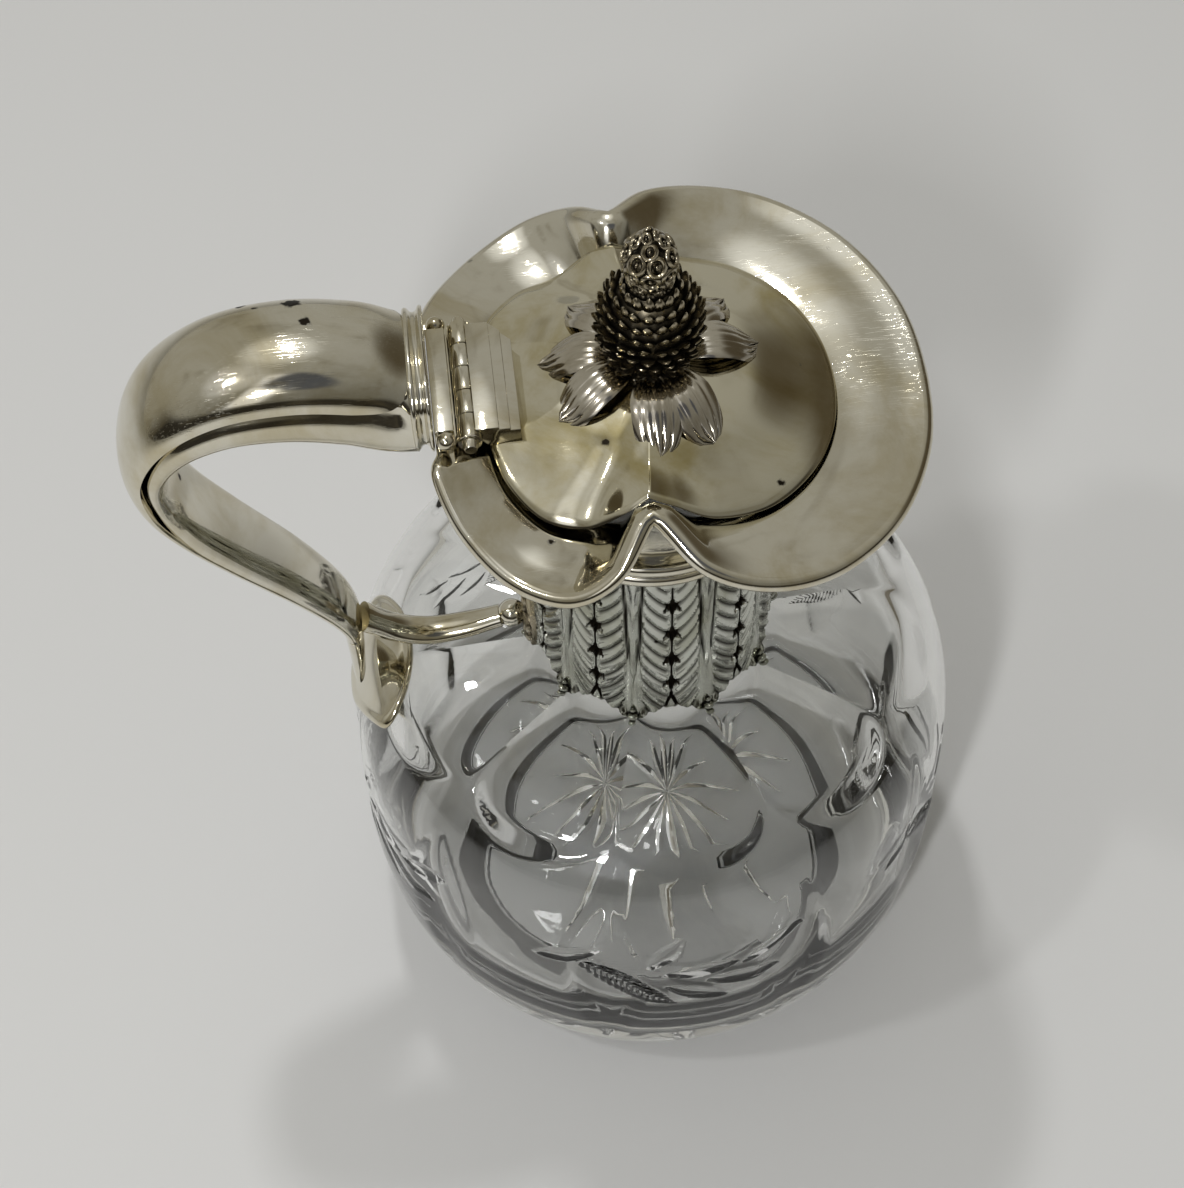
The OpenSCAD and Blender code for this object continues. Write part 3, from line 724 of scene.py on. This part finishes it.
def panel_relief(x, z):
    """Radius of the chased panel at x from its middle, and its painted shade: black in the piercings, darker
    in the groove and between the ribs.
    """
    edge = PANEL_W / 2 - abs(x)
    wedge = 0.14 + 1.5 * max(0.0, (z - 107) / (COLLAR_TOP - 107))
    if edge < wedge:
        return COLLAR_R + 0.35 * (1 - (edge / wedge) ** 2), 0.0
    if edge < wedge + GROOVE_W:
        deep = sin(pi * (edge - wedge) / GROOVE_W)
        return 25.95 - 0.75 * deep, deep
    u = min(1.0, (edge - wedge - GROOVE_W) / (PANEL_W / 2 - wedge - GROOVE_W))
    beat = ((z - 0.62 * abs(x) - 0.095 * x * x) / RIB_PITCH) % 1.0
    rib = 1 - abs(2 * beat ** 0.7 - 1) ** 1.6
    fine = 0.1 * sin(beat * tau * 3)
    fade = smoothstep(0.0, 0.12, u) * smoothstep(0.3, 1.3, abs(x)) * smoothstep(COLLAR_TOP, COLLAR_TOP - 2, z)
    hole = star_hole(x, z)
    radius = 25.5 + sqrt(u * (2 - u)) + (RIB_HEIGHT * rib + fine - 0.5) * fade
    return (radius + (PIERCED_R - radius) * smoothstep(0.05, 0.5, hole),
        max(smoothstep(-0.12, 0.08, hole), 0.9 * fade * (1 - rib) ** 1.6))


def tassel():
    """The little drop that ends each strip between two panels."""
    drop = bmesh.new()
    for size, x, z in ((1.5, 27.3, 103.7), (1.15, 28.3, 102.6), (0.8, 27.0, 105.8)):
        verts = bmesh.ops.create_uvsphere(drop, u_segments=12, v_segments=8, radius=size)["verts"]
        bmesh.ops.scale(drop, vec=(0.7, 0.8, 1.3), verts=verts)
        bmesh.ops.rotate(drop, matrix=Matrix.Rotation(0.7, 3, "Y"), verts=verts)
        bmesh.ops.translate(drop, vec=(x, 0, z), verts=verts)
    return drop


def pierced_sleeve():
    """The collar: ten chased panels with piercings and scalloped ends."""
    tall = COLLAR_TOP - COLLAR_LOW
    profile = [(LINER_R + 0.03, h) for h in (COLLAR_TOP, 130, COLLAR_LOW)]
    profile += [(COLLAR_R, COLLAR_LOW + tall * i / SLEEVE_ROWS) for i in range(SLEEVE_ROWS + 1)] + profile[:1]
    bm = bmesh.new()
    revolved(bm, profile, PANELS * SLEEVE_COLUMNS, sectors=2 * PANELS)
    # Painted shade kept at each vertex: black in the piercings, darker in the groove and between the ribs
    painted_shade = bm.verts.layers.float.new("painted_shade")
    step = tau / PANELS
    for v in bm.verts:
        r = hypot(v.co.x, v.co.y)
        turn = (atan2(v.co.y, v.co.x) / step + 1e-6) % PANELS
        panel = int(turn)
        share = 2 * (turn - panel) - 1
        share = 0.42 * share + 0.58 * share * abs(share)
        low = 106.3 - 4.3 * abs(share) ** 1.5
        z = low + (COLLAR_TOP - low) * (v.co.z - COLLAR_LOW) / tall
        if r > 25.6:
            r, v[painted_shade] = panel_relief(share * PANEL_W / 2, z)
        r += 2.0 * smoothstep(106.5, COLLAR_LOW, z) * smoothstep(0.2, 1.0, abs(share))
        turn = PANEL_TURN + (panel + 0.5 + share / 2) * step
        v.co = (r * cos(turn), r * sin(turn), z)
    set_in(bm, tassel(), [around(PANEL_TURN + panel * step) for panel in range(PANELS)])
    outward(bm)
    piece("pierced_sleeve", bm, "jug", PIERCED, ["neck_collar"], crease=32)


pierced_sleeve()


def neck_mouldings():
    """Two reeded rings above the sleeve, turned on one profile."""
    half = RING / 2 - 0.05
    profile = [(LINER_R + 0.02, COLLAR_TOP + 0.05)]
    for base in (COLLAR_TOP, COLLAR_TOP + RING):
        profile += [(LINER_R + 0.8 + half * sin(radians(a)), base + RING / 2 - half * cos(radians(a)))
            for a in range(0, 181, 12)]
    profile += [(LINER_R + 0.02, MOUTH_LOW - 0.05), profile[0]]
    bm = bmesh.new()
    revolved(bm, profile, 192)
    outward(bm)
    piece("neck_mouldings", bm, "jug", SILVER, ["neck_ring_lower", "neck_ring_upper"], crease=50)


neck_mouldings()

# ---- finial
LEAF_TURNS = (6, 43, 88, 132, 173, 210, 267, 298)


def calyx_leaf(seed):
    """One broad, blunt leaf of the calyx, arched over the lid, with ribs along it."""
    rows, columns, ribs = 16, 31, 5
    near, far, width = 5.2, 22.3, 9.7
    draw = random.Random(seed)
    sway = draw.uniform(-0.9, 0.9)
    droop = draw.uniform(-0.5, 0.3)
    sections = []
    for i in range(rows + 1):
        t = i / rows
        z = CALYX_LOW + 1.7 + 2.3 * sin(pi * min(1.0, t * 1.15)) - (4.0 - droop) * t ** 2.4
        half = width / 2 * min(1.0, 0.62 + 0.9 * t) * (1 - t ** 7) ** 0.5 + 0.02
        row = []
        for j in range(columns):
            v = 2 * j / (columns - 1) - 1
            rib = abs(sin(pi * ribs * (v + 1) / 2)) ** 0.45
            vein = 0.15 * (rib - 1) * smoothstep(0.0, 0.25, t)
            notch = 1.1 * (1 - rib) * t ** 8 + 0.5 * v * v * t ** 6
            row.append((near + (far - near) * t - notch, v * half + sway * t * t,
                z - 1.3 * v * v * (0.3 + t) + vein))
        sections.append(row)
    leaf = bmesh.new()
    loft(leaf, sections, closed=False)
    bmesh.ops.solidify(leaf, geom=leaf.faces[:], thickness=0.6)
    outward(leaf)
    return leaf


def calyx():
    bm = bmesh.new()
    for i, turn in enumerate(LEAF_TURNS):
        set_in(bm, calyx_leaf(i), [around(radians(turn))])
    hub = [(1.6, 0), (6.6, 0), (6.9, 0.8), (6.2, 1.4), (6.4, 2.15), (1.6, 2.15), (1.6, 0)]
    revolved(bm, [(r, CALYX_LOW + z) for r, z in hub], 48)
    outward(bm)
    piece("calyx_leaves", bm, "lid", LEAF_SILVER, ["finial_calyx"], crease=50)


calyx()


CORE_R = CONE_R - 2.3


def cone_at(a):
    """Radius and height of the scaly cone's core at an angle from its middle."""
    mid = CONE_LOW + CONE_H * 0.46
    reach = mid - CONE_LOW if a < 0 else (CONE_LOW + CONE_H - mid) * 0.97
    return CORE_R * cos(a), mid + reach * sin(a)


def cone_scale(long, wide):
    """One thick, pointed scale, bowed outward."""
    sections = []
    for t, w, d in ((0, 0.8, 0.6), (0.3, 1.0, 1.0), (0.62, 0.78, 0.85), (0.88, 0.38, 0.5), (1, 0.08, 0.1)):
        bow = 0.75 * sin(pi * t * 0.8) + 0.5 * t * t
        sections.append([(bow + 0.6 * d * x, 0.5 * wide * w * y, long * t) for x, y in
            ((-1, 0), (-0.2, -1), (0.75, -0.55), (1.1, 0), (0.75, 0.55), (-0.2, 1))])
    scale = bmesh.new()
    closed_in(scale, loft(scale, sections)[-1])
    outward(scale)
    return scale


def scaly_cone():
    """The cone of the finial: a round core under a dozen rows of pointed scales."""
    bm = bmesh.new()
    steps, rows, lean_out = 24, 12, radians(33)
    core = [cone_at(-pi / 2 + pi * i / steps) for i in range(steps + 1)]
    revolved(bm, [(max(r, 0.0), z) for r, z in core], 48)
    draw = random.Random(7)
    for row in range(rows):
        a = radians(-52 + 124 * row / (rows - 1))
        r, z = cone_at(a)
        count = max(7, round(tau * (r + 1.2) / 2.7))
        lean = atan2(-CORE_R * sin(a), CONE_H / 2 * cos(a)) + lean_out
        places = []
        for k in range(count):
            turn = tau * (k + 0.5 * (row % 2)) / count + draw.uniform(-0.05, 0.05)
            places.append(around(turn, r - 0.45, z - 1.2 * cos(a), lean + draw.uniform(-0.12, 0.12)))
        set_in(bm, cone_scale(3.9 if row < rows - 2 else 3.0, 2.9), places)
    piece("scaly_cone", bm, "lid", OXIDISED, ["finial_cone"], crease=45)


scaly_cone()


def petal_loop(high, wide, thick):
    """A curled petal of the bud: a looped rim round a small bead."""
    loop = bmesh.new()
    ring = bmesh.ops.create_circle(loop, segments=6, radius=thick)["verts"]
    bmesh.ops.rotate(loop, matrix=Matrix.Rotation(pi / 2, 3, "X"), verts=ring)
    bmesh.ops.translate(loop, vec=(1, 0, 0), verts=ring)
    bmesh.ops.spin(loop, geom=loop.verts[:] + loop.edges[:], cent=(0, 0, 0), axis=(0, 0, 1),
        dvec=(0, 0, 0), angle=tau, steps=14, use_merge=True, use_duplicate=False)
    for v in loop.verts:
        out = hypot(v.co.x, v.co.y)
        v.co.x *= (wide + out - 1) / out
        v.co.y *= (high + out - 1) / out
    bead = bmesh.ops.create_uvsphere(loop, u_segments=8, v_segments=6, radius=1)["verts"]
    bmesh.ops.scale(loop, vec=(wide * 0.24, high * 0.34, thick * 0.9), verts=bead)
    bmesh.ops.rotate(loop, matrix=Matrix.Rotation(pi / 2, 3, "Y") @ Matrix.Rotation(pi / 2, 3, "Z"),
        verts=loop.verts)
    outward(loop)
    return loop


# Tiers of the bud: how many petals, their height and distance from the middle, lean, and size
BUD_TIERS = ((8, 1.6, 4.2, 14, 1.7, 1.3, 0.5), (8, 4.7, 4.75, 0, 1.9, 1.5, 0.58),
    (7, 7.9, 4.3, -30, 1.8, 1.5, 0.56), (4, 10.4, 2.5, -52, 1.4, 1.2, 0.5), (3, 12.3, 1.1, -20, 1.0, 0.8, 0.4))


def bud():
    """A closed flower of curled petals in four tiers, with a little tuft on top."""
    bm = bmesh.new()
    core = bmesh.ops.create_uvsphere(bm, u_segments=24, v_segments=16, radius=1)["verts"]
    bmesh.ops.scale(bm, vec=(BUD_R - 2.2, BUD_R - 2.2, 5.4), verts=core)
    bmesh.ops.translate(bm, vec=(0, 0, BUD_LOW + 5.2), verts=core)
    draw = random.Random(3)
    for count, rise, reach, lean, high, wide, thick in BUD_TIERS:
        offset = draw.uniform(0, 1)
        places = [around(tau * (k + offset) / count, reach, BUD_LOW + rise,
            radians(lean + draw.uniform(-16, 16))) @ Matrix.Rotation(draw.uniform(-0.5, 0.5), 4, "X")
            for k in range(count)]
        set_in(bm, petal_loop(high, wide, thick), places)
    piece("flower_bud", bm, "lid", OXIDISED, ["finial_bud"], crease=60)


bud()

# ---- handle
START_X, START_Z, END_X, END_Z, HANDLE_W, END_W = -46.4, TIP + 15.5, -66.2, 112.0, 13.0, 6.4


def stations(x0, z0, w0, table):
    """Stations of the handle: [x, z, half width, depth outward, depth inward, roundness]."""
    return [[x0 + x, z0 + z, w0 + w, *rest] for x, z, w, *rest in table]


# The curve from the hinge over the back, then the one that ends at the junction
HANDLE = stations(START_X, START_Z, HANDLE_W, ((0, 0, 0, 7, 13, 3.6), (-10.6, 4.2, 0.2, 8, 13, 3.6),
    (-23.2, 6.4, 0.2, 8, 12, 3.4), (-36.8, 4.4, 0, 7.2, 10.2, 3), (-48.2, -3, -0.4, 5.8, 7.6, 2.7),
    (-54.4, -14, -1, 4.5, 5.4, 2.4), (-53.9, -26.5, -1.8, 3.8, 4.4, 2.2)))
HANDLE += stations(END_X, END_Z, END_W, ((-29, 50.5, 4, 3.3, 3.8, 2.2), (-20.8, 38, 3.2, 3, 3.4, 2.2),
    (-10.3, 23.5, 2.2, 2.9, 3.1, 2.2), (-2.4, 10, 1, 2.6, 2.7, 2), (0, 0, 0, 2.2, 2.2, 2)))
BACK, DOWN = (-1, 0), (0, -1)


def turned(a, b, way):
    return [2 * p - q if n < 2 and way[n] else q for n, (p, q) in enumerate(zip(a, b))]


def path(knots, first, last, steps):
    """The smooth curve through the stations, square to its ends."""
    before, after = turned(knots[0], knots[1], first), turned(knots[-1], knots[-2], last)
    return curve(knots, before, after, steps) + [knots[-1]]


def heading(line, i, first, last):
    if i in (0, len(line) - 1):
        return first if i == 0 else last
    way = [line[i + 1][n] - line[i - 1][n] for n in (0, 1)]
    size = hypot(*way)
    return way[0] / size, way[1] / size


def off(station, way, y, n):
    return (station[0] + way[1] * n, y, station[1] - way[0] * n)


def rounded_power(value, power):
    return (1 if value > 0 else -1) * abs(value) ** (2 / power)


TONGUE_X, TONGUE_L, TONGUE_POWER = START_X - 1.6, 12.0, 2.4


def cover_share(station):
    """How wide the raised cover is, from 0 at its tongue-like end to 1."""
    if station[1] <= START_Z - 20 or station[0] <= -70:
        return 1.0
    return bowed(1 - min(1.0, max(0.0, (TONGUE_X - station[0]) / TONGUE_L)), TONGUE_POWER)


# The side of the handle under its cover, from the crease to the middle of the inner face:
# (distance in from the full width, share of the depth)
COVE_SIDE = ((2.5, -0.1), (2.6, 0.02), (2.3, 0.07), (1.75, 0.14), (1.15, 0.21), (0.6, 0.28), (0.22, 0.35),
    (0.04, 0.43), (0.0, 0.52), (0.08, 0.62), (0.35, 0.72), (0.95, 0.82), (1.9, 0.9), (3.2, 0.955))
INNER_FACE = (0.6, 0.4, 0.2, 0.0)
CROWN_STEPS, COVER_STEPS, FLANGE_STEPS, STRAP_STEPS = 16, 24, 72, 28


def core_side(s, open_end):
    """Half a section of the handle's body, from the crease to the middle of its inner face: [across, out]."""
    width, deep, power = s[2], s[4], s[5]
    half = []
    for step_in, share in COVE_SIDE:
        shallow = 0.35 + 0.65 * (1 - open_end) if share < 0.35 else 1.0
        half.append((width - step_in * width / HANDLE_W * shallow, -share * deep))
    half += [(share * width, -deep * (1 - 0.07 * share ** 2)) for share in INNER_FACE]
    # Lower down the cove gives way to a plain oval
    cove = smoothstep(START_Z - 46, START_Z - 14, s[1])
    last = len(half) - 1
    for k, (y, n) in enumerate(half):
        a = pi / 2 * k / last
        oval = min(width - 0.25, width * cos(a) ** (2 / power) if k < last else 0.0)
        low = -deep * sin(a) ** (2 / power)
        half[k] = (oval + (y - oval) * cove, low + (n - low) * cove)
    return [(half[0][0], 0.3)] + half


def handle_core():
    """The hollow body of the handle: a cove under the cover, a bead, and a flat inner face."""
    line = path(HANDLE, BACK, DOWN, 8)
    rings = []
    for i, s in enumerate(line):
        open_end = 1 - smoothstep(0.0, 0.5, cover_share(s))
        half = core_side(s, open_end)
        wide, high = half[0][0] - 0.1, s[3] - 0.75 + 0.35 * open_end
        turns = [pi * j / CROWN_STEPS for j in range(1, CROWN_STEPS)]
        ring = [(wide * cos(a), high * sin(a)) for a in turns] + [(-y, n) for y, n in half[:-1]] + half[::-1]
        rings.append([off(s, heading(line, i, BACK, DOWN), y, n) for y, n in ring])
    piece("handle_body", solid(rings), "jug", SILVER, ["handle_inner"], crease=60)


def handle_cover():
    """The domed cover, which ends behind the hinge in a rounded tongue."""
    line = path(HANDLE, BACK, DOWN, 12)
    rings = []
    for i, s in enumerate(line):
        share = cover_share(s)
        if share <= 0.02:
            continue
        start = pi / 2 - share * pi / 2
        turns = [start + (pi - 2 * start) * j / COVER_STEPS for j in range(COVER_STEPS + 1)]
        ring = [(s[2] * cos(a), s[3] * sin(a) + 0.12 * (1 - share)) for a in turns]
        ring += [((s[2] - 0.75) * cos(a), (s[3] - 0.95) * sin(a) - 0.25) for a in turns[::-1]]
        rings.append([off(s, heading(line, i, BACK, DOWN), y, n) for y, n in ring])
    piece("handle_cover", solid(rings), "jug", HANDLE_SILVER, ["handle_outer"], crease=60)


# The flange's profile: (x, how far it stands out from the handle's end)
FLANGE = ((-43.32, 0.2), (-43.34, 0.9), (-43.7, 1.15), (-44.1, 0.95), (-44.35, 0.35), (-44.7, -0.1),
    (-45.2, -0.25), (-45.7, -0.05), (-46.0, 0.35), (-46.3, 0.7), (-46.75, 0.8), (-47.15, 0.5), (-47.3, -0.2))


def handle_flange():
    """The moulded flange between the hinge plate and the handle: two beads and a hollow."""
    _, middle, width, high, deep, power = HANDLE[0]
    rings = []
    for x, extra in FLANGE:
        ring = []
        for j in range(FLANGE_STEPS):
            a = tau * j / FLANGE_STEPS
            y, z = (width + extra) * cos(a), (high + extra) * sin(a)
            if a > pi:
                y = (width + extra) * rounded_power(cos(a), power)
                z = (deep + extra) * rounded_power(sin(a), power)
            ring.append((x, y, middle + z))
        rings.append(ring)
    piece("handle_flange_moulding", solid(rings), "jug", SILVER, ["handle_flange"], crease=60)


handle_core()
handle_cover()
handle_flange()


def strap(name, knots, first, last, stands_for):
    """A solid oval strap through its knots [x, z, half width, half thickness]."""
    line = path(knots, first, last, 8)
    turns = [tau * j / STRAP_STEPS for j in range(STRAP_STEPS)]
    rings = [[off(s, heading(line, i, first, last), s[2] * cos(a), s[3] * sin(a)) for a in turns]
        for i, s in enumerate(line)]
    piece(name, solid(rings), "jug", SILVER, stands_for, crease=50)


ARM = [[END_X + 2.5, END_Z + 2.4, 3.8, 2.2], [END_X + 9, 108.6, 3.6, 2.2], [-50.05, 105.9, 3.5, 2.2],
    [-42.0, 106.6, 3.3, 2.1], [-33.6, 109.0, 2.8, 2.0]]
strap("handle_arm_bar", ARM, (0.7071, -0.7071), (0.9701, 0.2425), ["handle_arm"])
SHIELD = [[-68, 0], [-67.6, 4.5], [-65.6, 10.2], [-62.6, 15.6], [-60.6, 17.2], [-58.2, 15.4], [-55.6, 10.6],
    [-54.1, 5], [-53.7, 0]]
SHIELD_MIDDLE = Vector((-60.8, 0))
# From the middle of the underside over the beaded edge to that of the top: (share of the way out, height)
SHIELD_SECTION = ((0.05, 0.3), (0.5, 0.3), (0.97, 0.3), (1.0, 0.6), (1.0, 0.95), (0.985, 1.35), (0.95, 1.6),
    (0.905, 1.5), (0.875, 1.2), (0.83, 1.1), (0.7, 1.4), (0.5, 1.8), (0.3, 2.1), (0.15, 2.2), (0.04, 2.25))


def saddle_shield():
    """The shield that spreads the handle's foot over the shoulder, with a beaded edge."""
    half = curve(SHIELD, flipped(SHIELD[1]), flipped(SHIELD[-2]), 6)
    outline = half + [SHIELD[-1]] + [flipped(p) for p in half[:0:-1]]
    rings = []
    for share, height in SHIELD_SECTION:
        ring = []
        for edge in outline:
            x, y = SHIELD_MIDDLE + (Vector(edge) - SHIELD_MIDDLE) * share
            r = min(hypot(x, y), GLOBE_R - 0.2)
            side, up = outward_at(r, shoulder_at(r))
            reach = (r + side * height) / hypot(x, y)
            ring.append((x * reach, y * reach, shoulder_at(r) + up * height))
        rings.append(ring)
    piece("saddle_shield", solid(rings), "jug", SILVER, ["tail_saddle"], crease=60)


saddle_shield()


def bracket_scrolls():
    """The dark bracket that joins the arm to the collar: a curved plate under small scrolls."""
    bm = eased("arm_bracket", 0.4)
    for y, z, turn, high, wide in ((0, 113.6, 0, 2.2, 2.3), (-3.2, 111.2, 50, 2.3, 1.7),
            (3.2, 111.2, -50, 2.3, 1.7), (-3.4, 106.6, -40, 2.2, 1.6), (3.4, 106.6, 40, 2.2, 1.6),
            (0, 104.6, 0, 1.7, 2.0)):
        place = around(pi - y / COLLAR_R, COLLAR_R + 2.2, z) @ Matrix.Rotation(radians(turn), 4, "X")
        set_in(bm, petal_loop(high, wide, 0.55), [place])
    outward(bm)
    piece("arm_bracket_scrolls", bm, "jug", OXIDISED, ["arm_bracket"], crease=45)


bracket_scrolls()
TAIL = [[END_X, END_Z + 1.2, 6.6, 2.1], [END_X, 105.0, 6.4, 1.9], [END_X - 0.1, 98.5, 7.4, 1.6]]
strap("handle_tail_strap", TAIL, DOWN, DOWN, ["handle_tail"])

# ---- hinge
SEAT_R, PLATE_BACK, PLATE_W, LEAF_W = BARREL_R + 0.15, HINGE_X - 6.7, 12.6, 13.0
RELIEF, TURNED_BORE, TURNED_EASE = 0.4, 0.85, 0.14
HINGE_TOP = HINGE_Z + BARREL_R


def knuckle(node, body):
    """A turned knuckle of the hinge with eased rims, bored for the pin."""
    (_, near, _), (_, far, _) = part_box(node)
    near, far = near / MM, far / MM
    bore, ease = TURNED_BORE, TURNED_EASE
    bm = bmesh.new()
    revolved(bm, [(bore, near), (BARREL_R - ease, near), (BARREL_R - ease * 0.3, near + ease * 0.3),
        (BARREL_R, near + ease), (BARREL_R, far - ease), (BARREL_R - ease * 0.3, far - ease * 0.3),
        (BARREL_R - ease, far), (bore, far), (bore, near)], 64)
    bmesh.ops.rotate(bm, matrix=Matrix.Rotation(-pi / 2, 3, "X"), verts=bm.verts)
    bmesh.ops.translate(bm, vec=(HINGE_X, 0, HINGE_Z), verts=bm.verts)
    outward(bm)
    piece(node + "_turned", bm, body, SILVER, [node], crease=40)


def milled_bar(outline, half_width):
    """A bar with one profile of (x, z) all along the hinge."""
    bm = bmesh.new()
    face = bm.faces.new([bm.verts.new((x, -half_width, z)) for x, z in outline])
    grown = bmesh.ops.extrude_face_region(bm, geom=[face])["geom"]
    far = [g for g in grown if isinstance(g, bmesh.types.BMVert)]
    bmesh.ops.translate(bm, vec=(0, 2 * half_width, 0), verts=far)
    outward(bm)
    return bm


def seat_arc(low, high):
    """The hollow that the barrel turns in, between two angles seen from the pin."""
    turns = [radians(low + (high - low) * i / 8) for i in range(9)]
    return [(HINGE_X + SEAT_R * cos(a), HINGE_Z + SEAT_R * sin(a)) for a in turns]


def hinge_plate():
    """The fixed plate between the barrel and the flange of the handle."""
    front = HINGE_X - SEAT_R - RELIEF
    outline = [(PLATE_BACK, HINGE_Z - 1.8)] + seat_arc(225.1, 171.0)
    outline += [(front, HINGE_Z + RELIEF), (front, HINGE_TOP), (PLATE_BACK, HINGE_TOP)]
    bm = milled_bar(outline, PLATE_W)
    rounded(bm, 0.18)
    piece("hinge_plate_milled", bm, "jug", SILVER, ["hinge_plate"], crease=40)


def lid_leaf():
    """The moving leaf, stepped down towards the lid, with its far corner cut off."""
    end = Vector(raised(LID_HEEL)[-1])
    end.y = 0
    under = []
    for i in range(6):
        q = 1 - 0.04 * i
        at = placed(end, LID_HOLE + (-end.x - LID_HOLE) * q, lid_height(end, q) + 0.1)
        under.append((at.x, at.z))
    front = under[-1][0]
    steps = [(front - back, HINGE_TOP - down)
        for back, down in ((0, 1.2), (2, 1.2), (2, 0.6), (4.2, 0.6), (4.2, 0))]
    bm = milled_bar(under + steps + [(HINGE_X + 1.2, HINGE_TOP)] + seat_arc(61.9, -28.0), LEAF_W)
    cut = bmesh.ops.bisect_plane(bm, geom=bm.verts[:] + bm.edges[:] + bm.faces[:],
        plane_co=(front, 9.0, HINGE_TOP), plane_no=(1, 1, 0), clear_outer=True)["geom_cut"]
    closed_in(bm, [g for g in cut if isinstance(g, bmesh.types.BMEdge)])
    outward(bm)
    rounded(bm, 0.12)
    piece("lid_leaf_stepped", bm, "lid", SILVER, ["lid_leaf"], crease=40)


for node in ("jug_knuckle_front", "jug_knuckle_middle", "jug_knuckle_rear"):
    knuckle(node, "jug")
for node in ("lid_knuckle_front", "lid_knuckle_rear"):
    knuckle(node, "lid")
hinge_plate()
lid_leaf()
for node in ("plate_ball_front", "plate_ball_rear", "pin_end_front", "pin_end_rear", "arm_knob"):
    piece(node + "_eased", eased(node, 0.1), "jug", SILVER, [node])

# ---- stage, lamps and camera
def stage():
    finish, tree, shader = new_finish("pale_table")
    fill(tree, shader, {"Base Color": (0.7, 0.7, 0.695, 1), "Roughness": 0.8})
    bm = bmesh.new()
    bmesh.ops.create_circle(bm, cap_ends=True, segments=96, radius=4.0)
    table = in_scene("table", mesh_of("table", bm))
    table.data.materials.append(finish)


def lamp(name, place, size, power):
    light = bpy.data.lights.new(name, "AREA")
    light.shape = "RECTANGLE"
    light.size, light.size_y = size
    light.energy = power
    made = in_scene(name, light)
    made.location = place
    made.rotation_euler = (MIDDLE - place).to_track_quat("-Z", "Y").to_euler()


def toward(azimuth, elevation):
    a, e = radians(azimuth), radians(elevation)
    return Vector((cos(e) * cos(a), cos(e) * sin(a), sin(e)))


# Broad patches of the room: azimuth, elevation, where each starts and is full (as a cosine), colour
PATCHES = ((105, 70, 0.93, 0.99, (0.8, 0.8, 0.78, 1)), (-165, 60, 0.92, 0.99, (0.6, 0.6, 0.59, 1)),
    (-84, 60, 0.945, 0.975, (0.09, 0.095, 0.11, 1)), (25, 12, 0.8, 0.97, (0.09, 0.075, 0.05, 1)))
FAR_WALL, NEAR_WALL = (0.38, 0.37, 0.33, 1), (0.17, 0.165, 0.145, 1)
SKIRTING, CURTAIN, SHADE = (0.03, 0.027, 0.022, 1), (0.95, 0.96, 1.0, 1), (0.14, 0.12, 0.08, 1)


def world():
    """A soft, warm room, lighter behind the jug, with a dark skirting and a bright curtain before it."""
    made = bpy.data.worlds.new("studio")
    made.use_nodes = True
    tree = made.node_tree
    way = tree.nodes.new("ShaderNodeTexCoord").outputs["Generated"]

    def facing(azimuth, elevation, low, high):
        return mapped(tree, vectors(tree, "DOT_PRODUCT", way, toward(azimuth, elevation)), low, high)

    room = mixed(tree, facing(110, 35, -0.75, 0.9), NEAR_WALL, FAR_WALL)
    up = vectors(tree, "DOT_PRODUCT", way, (0, 0, 1))
    skirting = maths(tree, "MULTIPLY", mapped(tree, up, 0.38, 0.22), facing(-90, 0, -0.25, 0.3))
    room = mixed(tree, skirting, room, SKIRTING)
    aside = maths(tree, "ABSOLUTE", vectors(tree, "DOT_PRODUCT", way, toward(-22, 0)))
    curtain = maths(tree, "MULTIPLY", mapped(tree, aside, 0.17, 0.09), facing(-112, 0, 0.2, 0.32))
    curtain = maths(tree, "MULTIPLY", curtain, mapped(tree, up, 0.3, 0.45))
    room = mixed(tree, curtain, room, CURTAIN)
    for azimuth, elevation, low, high, colour in PATCHES:
        room = mixed(tree, facing(azimuth, elevation, low, high), room, colour)
    haze = noise(tree, way, 2.6, 3.0, Distortion=0.8)
    room = mixed(tree, mapped(tree, haze, 0.5, 0.75, 0.0, 0.55), room, SHADE)
    tree.links.new(room, tree.nodes["Background"].inputs["Color"])
    bpy.context.scene.world = made


stage()
world()
MIDDLE, LAMP_DISTANCE = Vector((-0.015, 0, 0.11)), 1.25
for name, azimuth, elevation, size, power in (("window", -114, 46, (0.06, 0.22), 5.0),
        ("ceiling", 105, 70, (0.08, 0.08), 3.2), ("side", -165, 58, (0.07, 0.07), 1.6)):
    lamp(name, MIDDLE + toward(azimuth, elevation) * LAMP_DISTANCE, size, power)

# The camera stands where the photograph was taken, 57.5 degrees above the horizon
TURN, ELEVATION, LEVEL_DISTANCE, EYE_HEIGHT = radians(7), radians(57.5), 0.3082, 0.5951
camera = bpy.data.cameras.new("camera")
camera.sensor_fit = "HORIZONTAL"
camera.sensor_width = 36
camera.lens = 78.1
camera.shift_x = -0.049
camera.clip_start = 0.01
eye = in_scene("camera", camera)
eye.location = (-LEVEL_DISTANCE * sin(TURN), -LEVEL_DISTANCE * cos(TURN), EYE_HEIGHT)
eye.rotation_euler = (pi / 2 - ELEVATION, 0, -TURN)
bpy.context.scene.camera = eye

bpy.context.scene.view_settings.view_transform = "Standard"

for name, node in frame["nodes"].items():
    node.data.materials.clear()
    node.data.materials.append(PLASTER if name == "neck_cement" else SILVER)
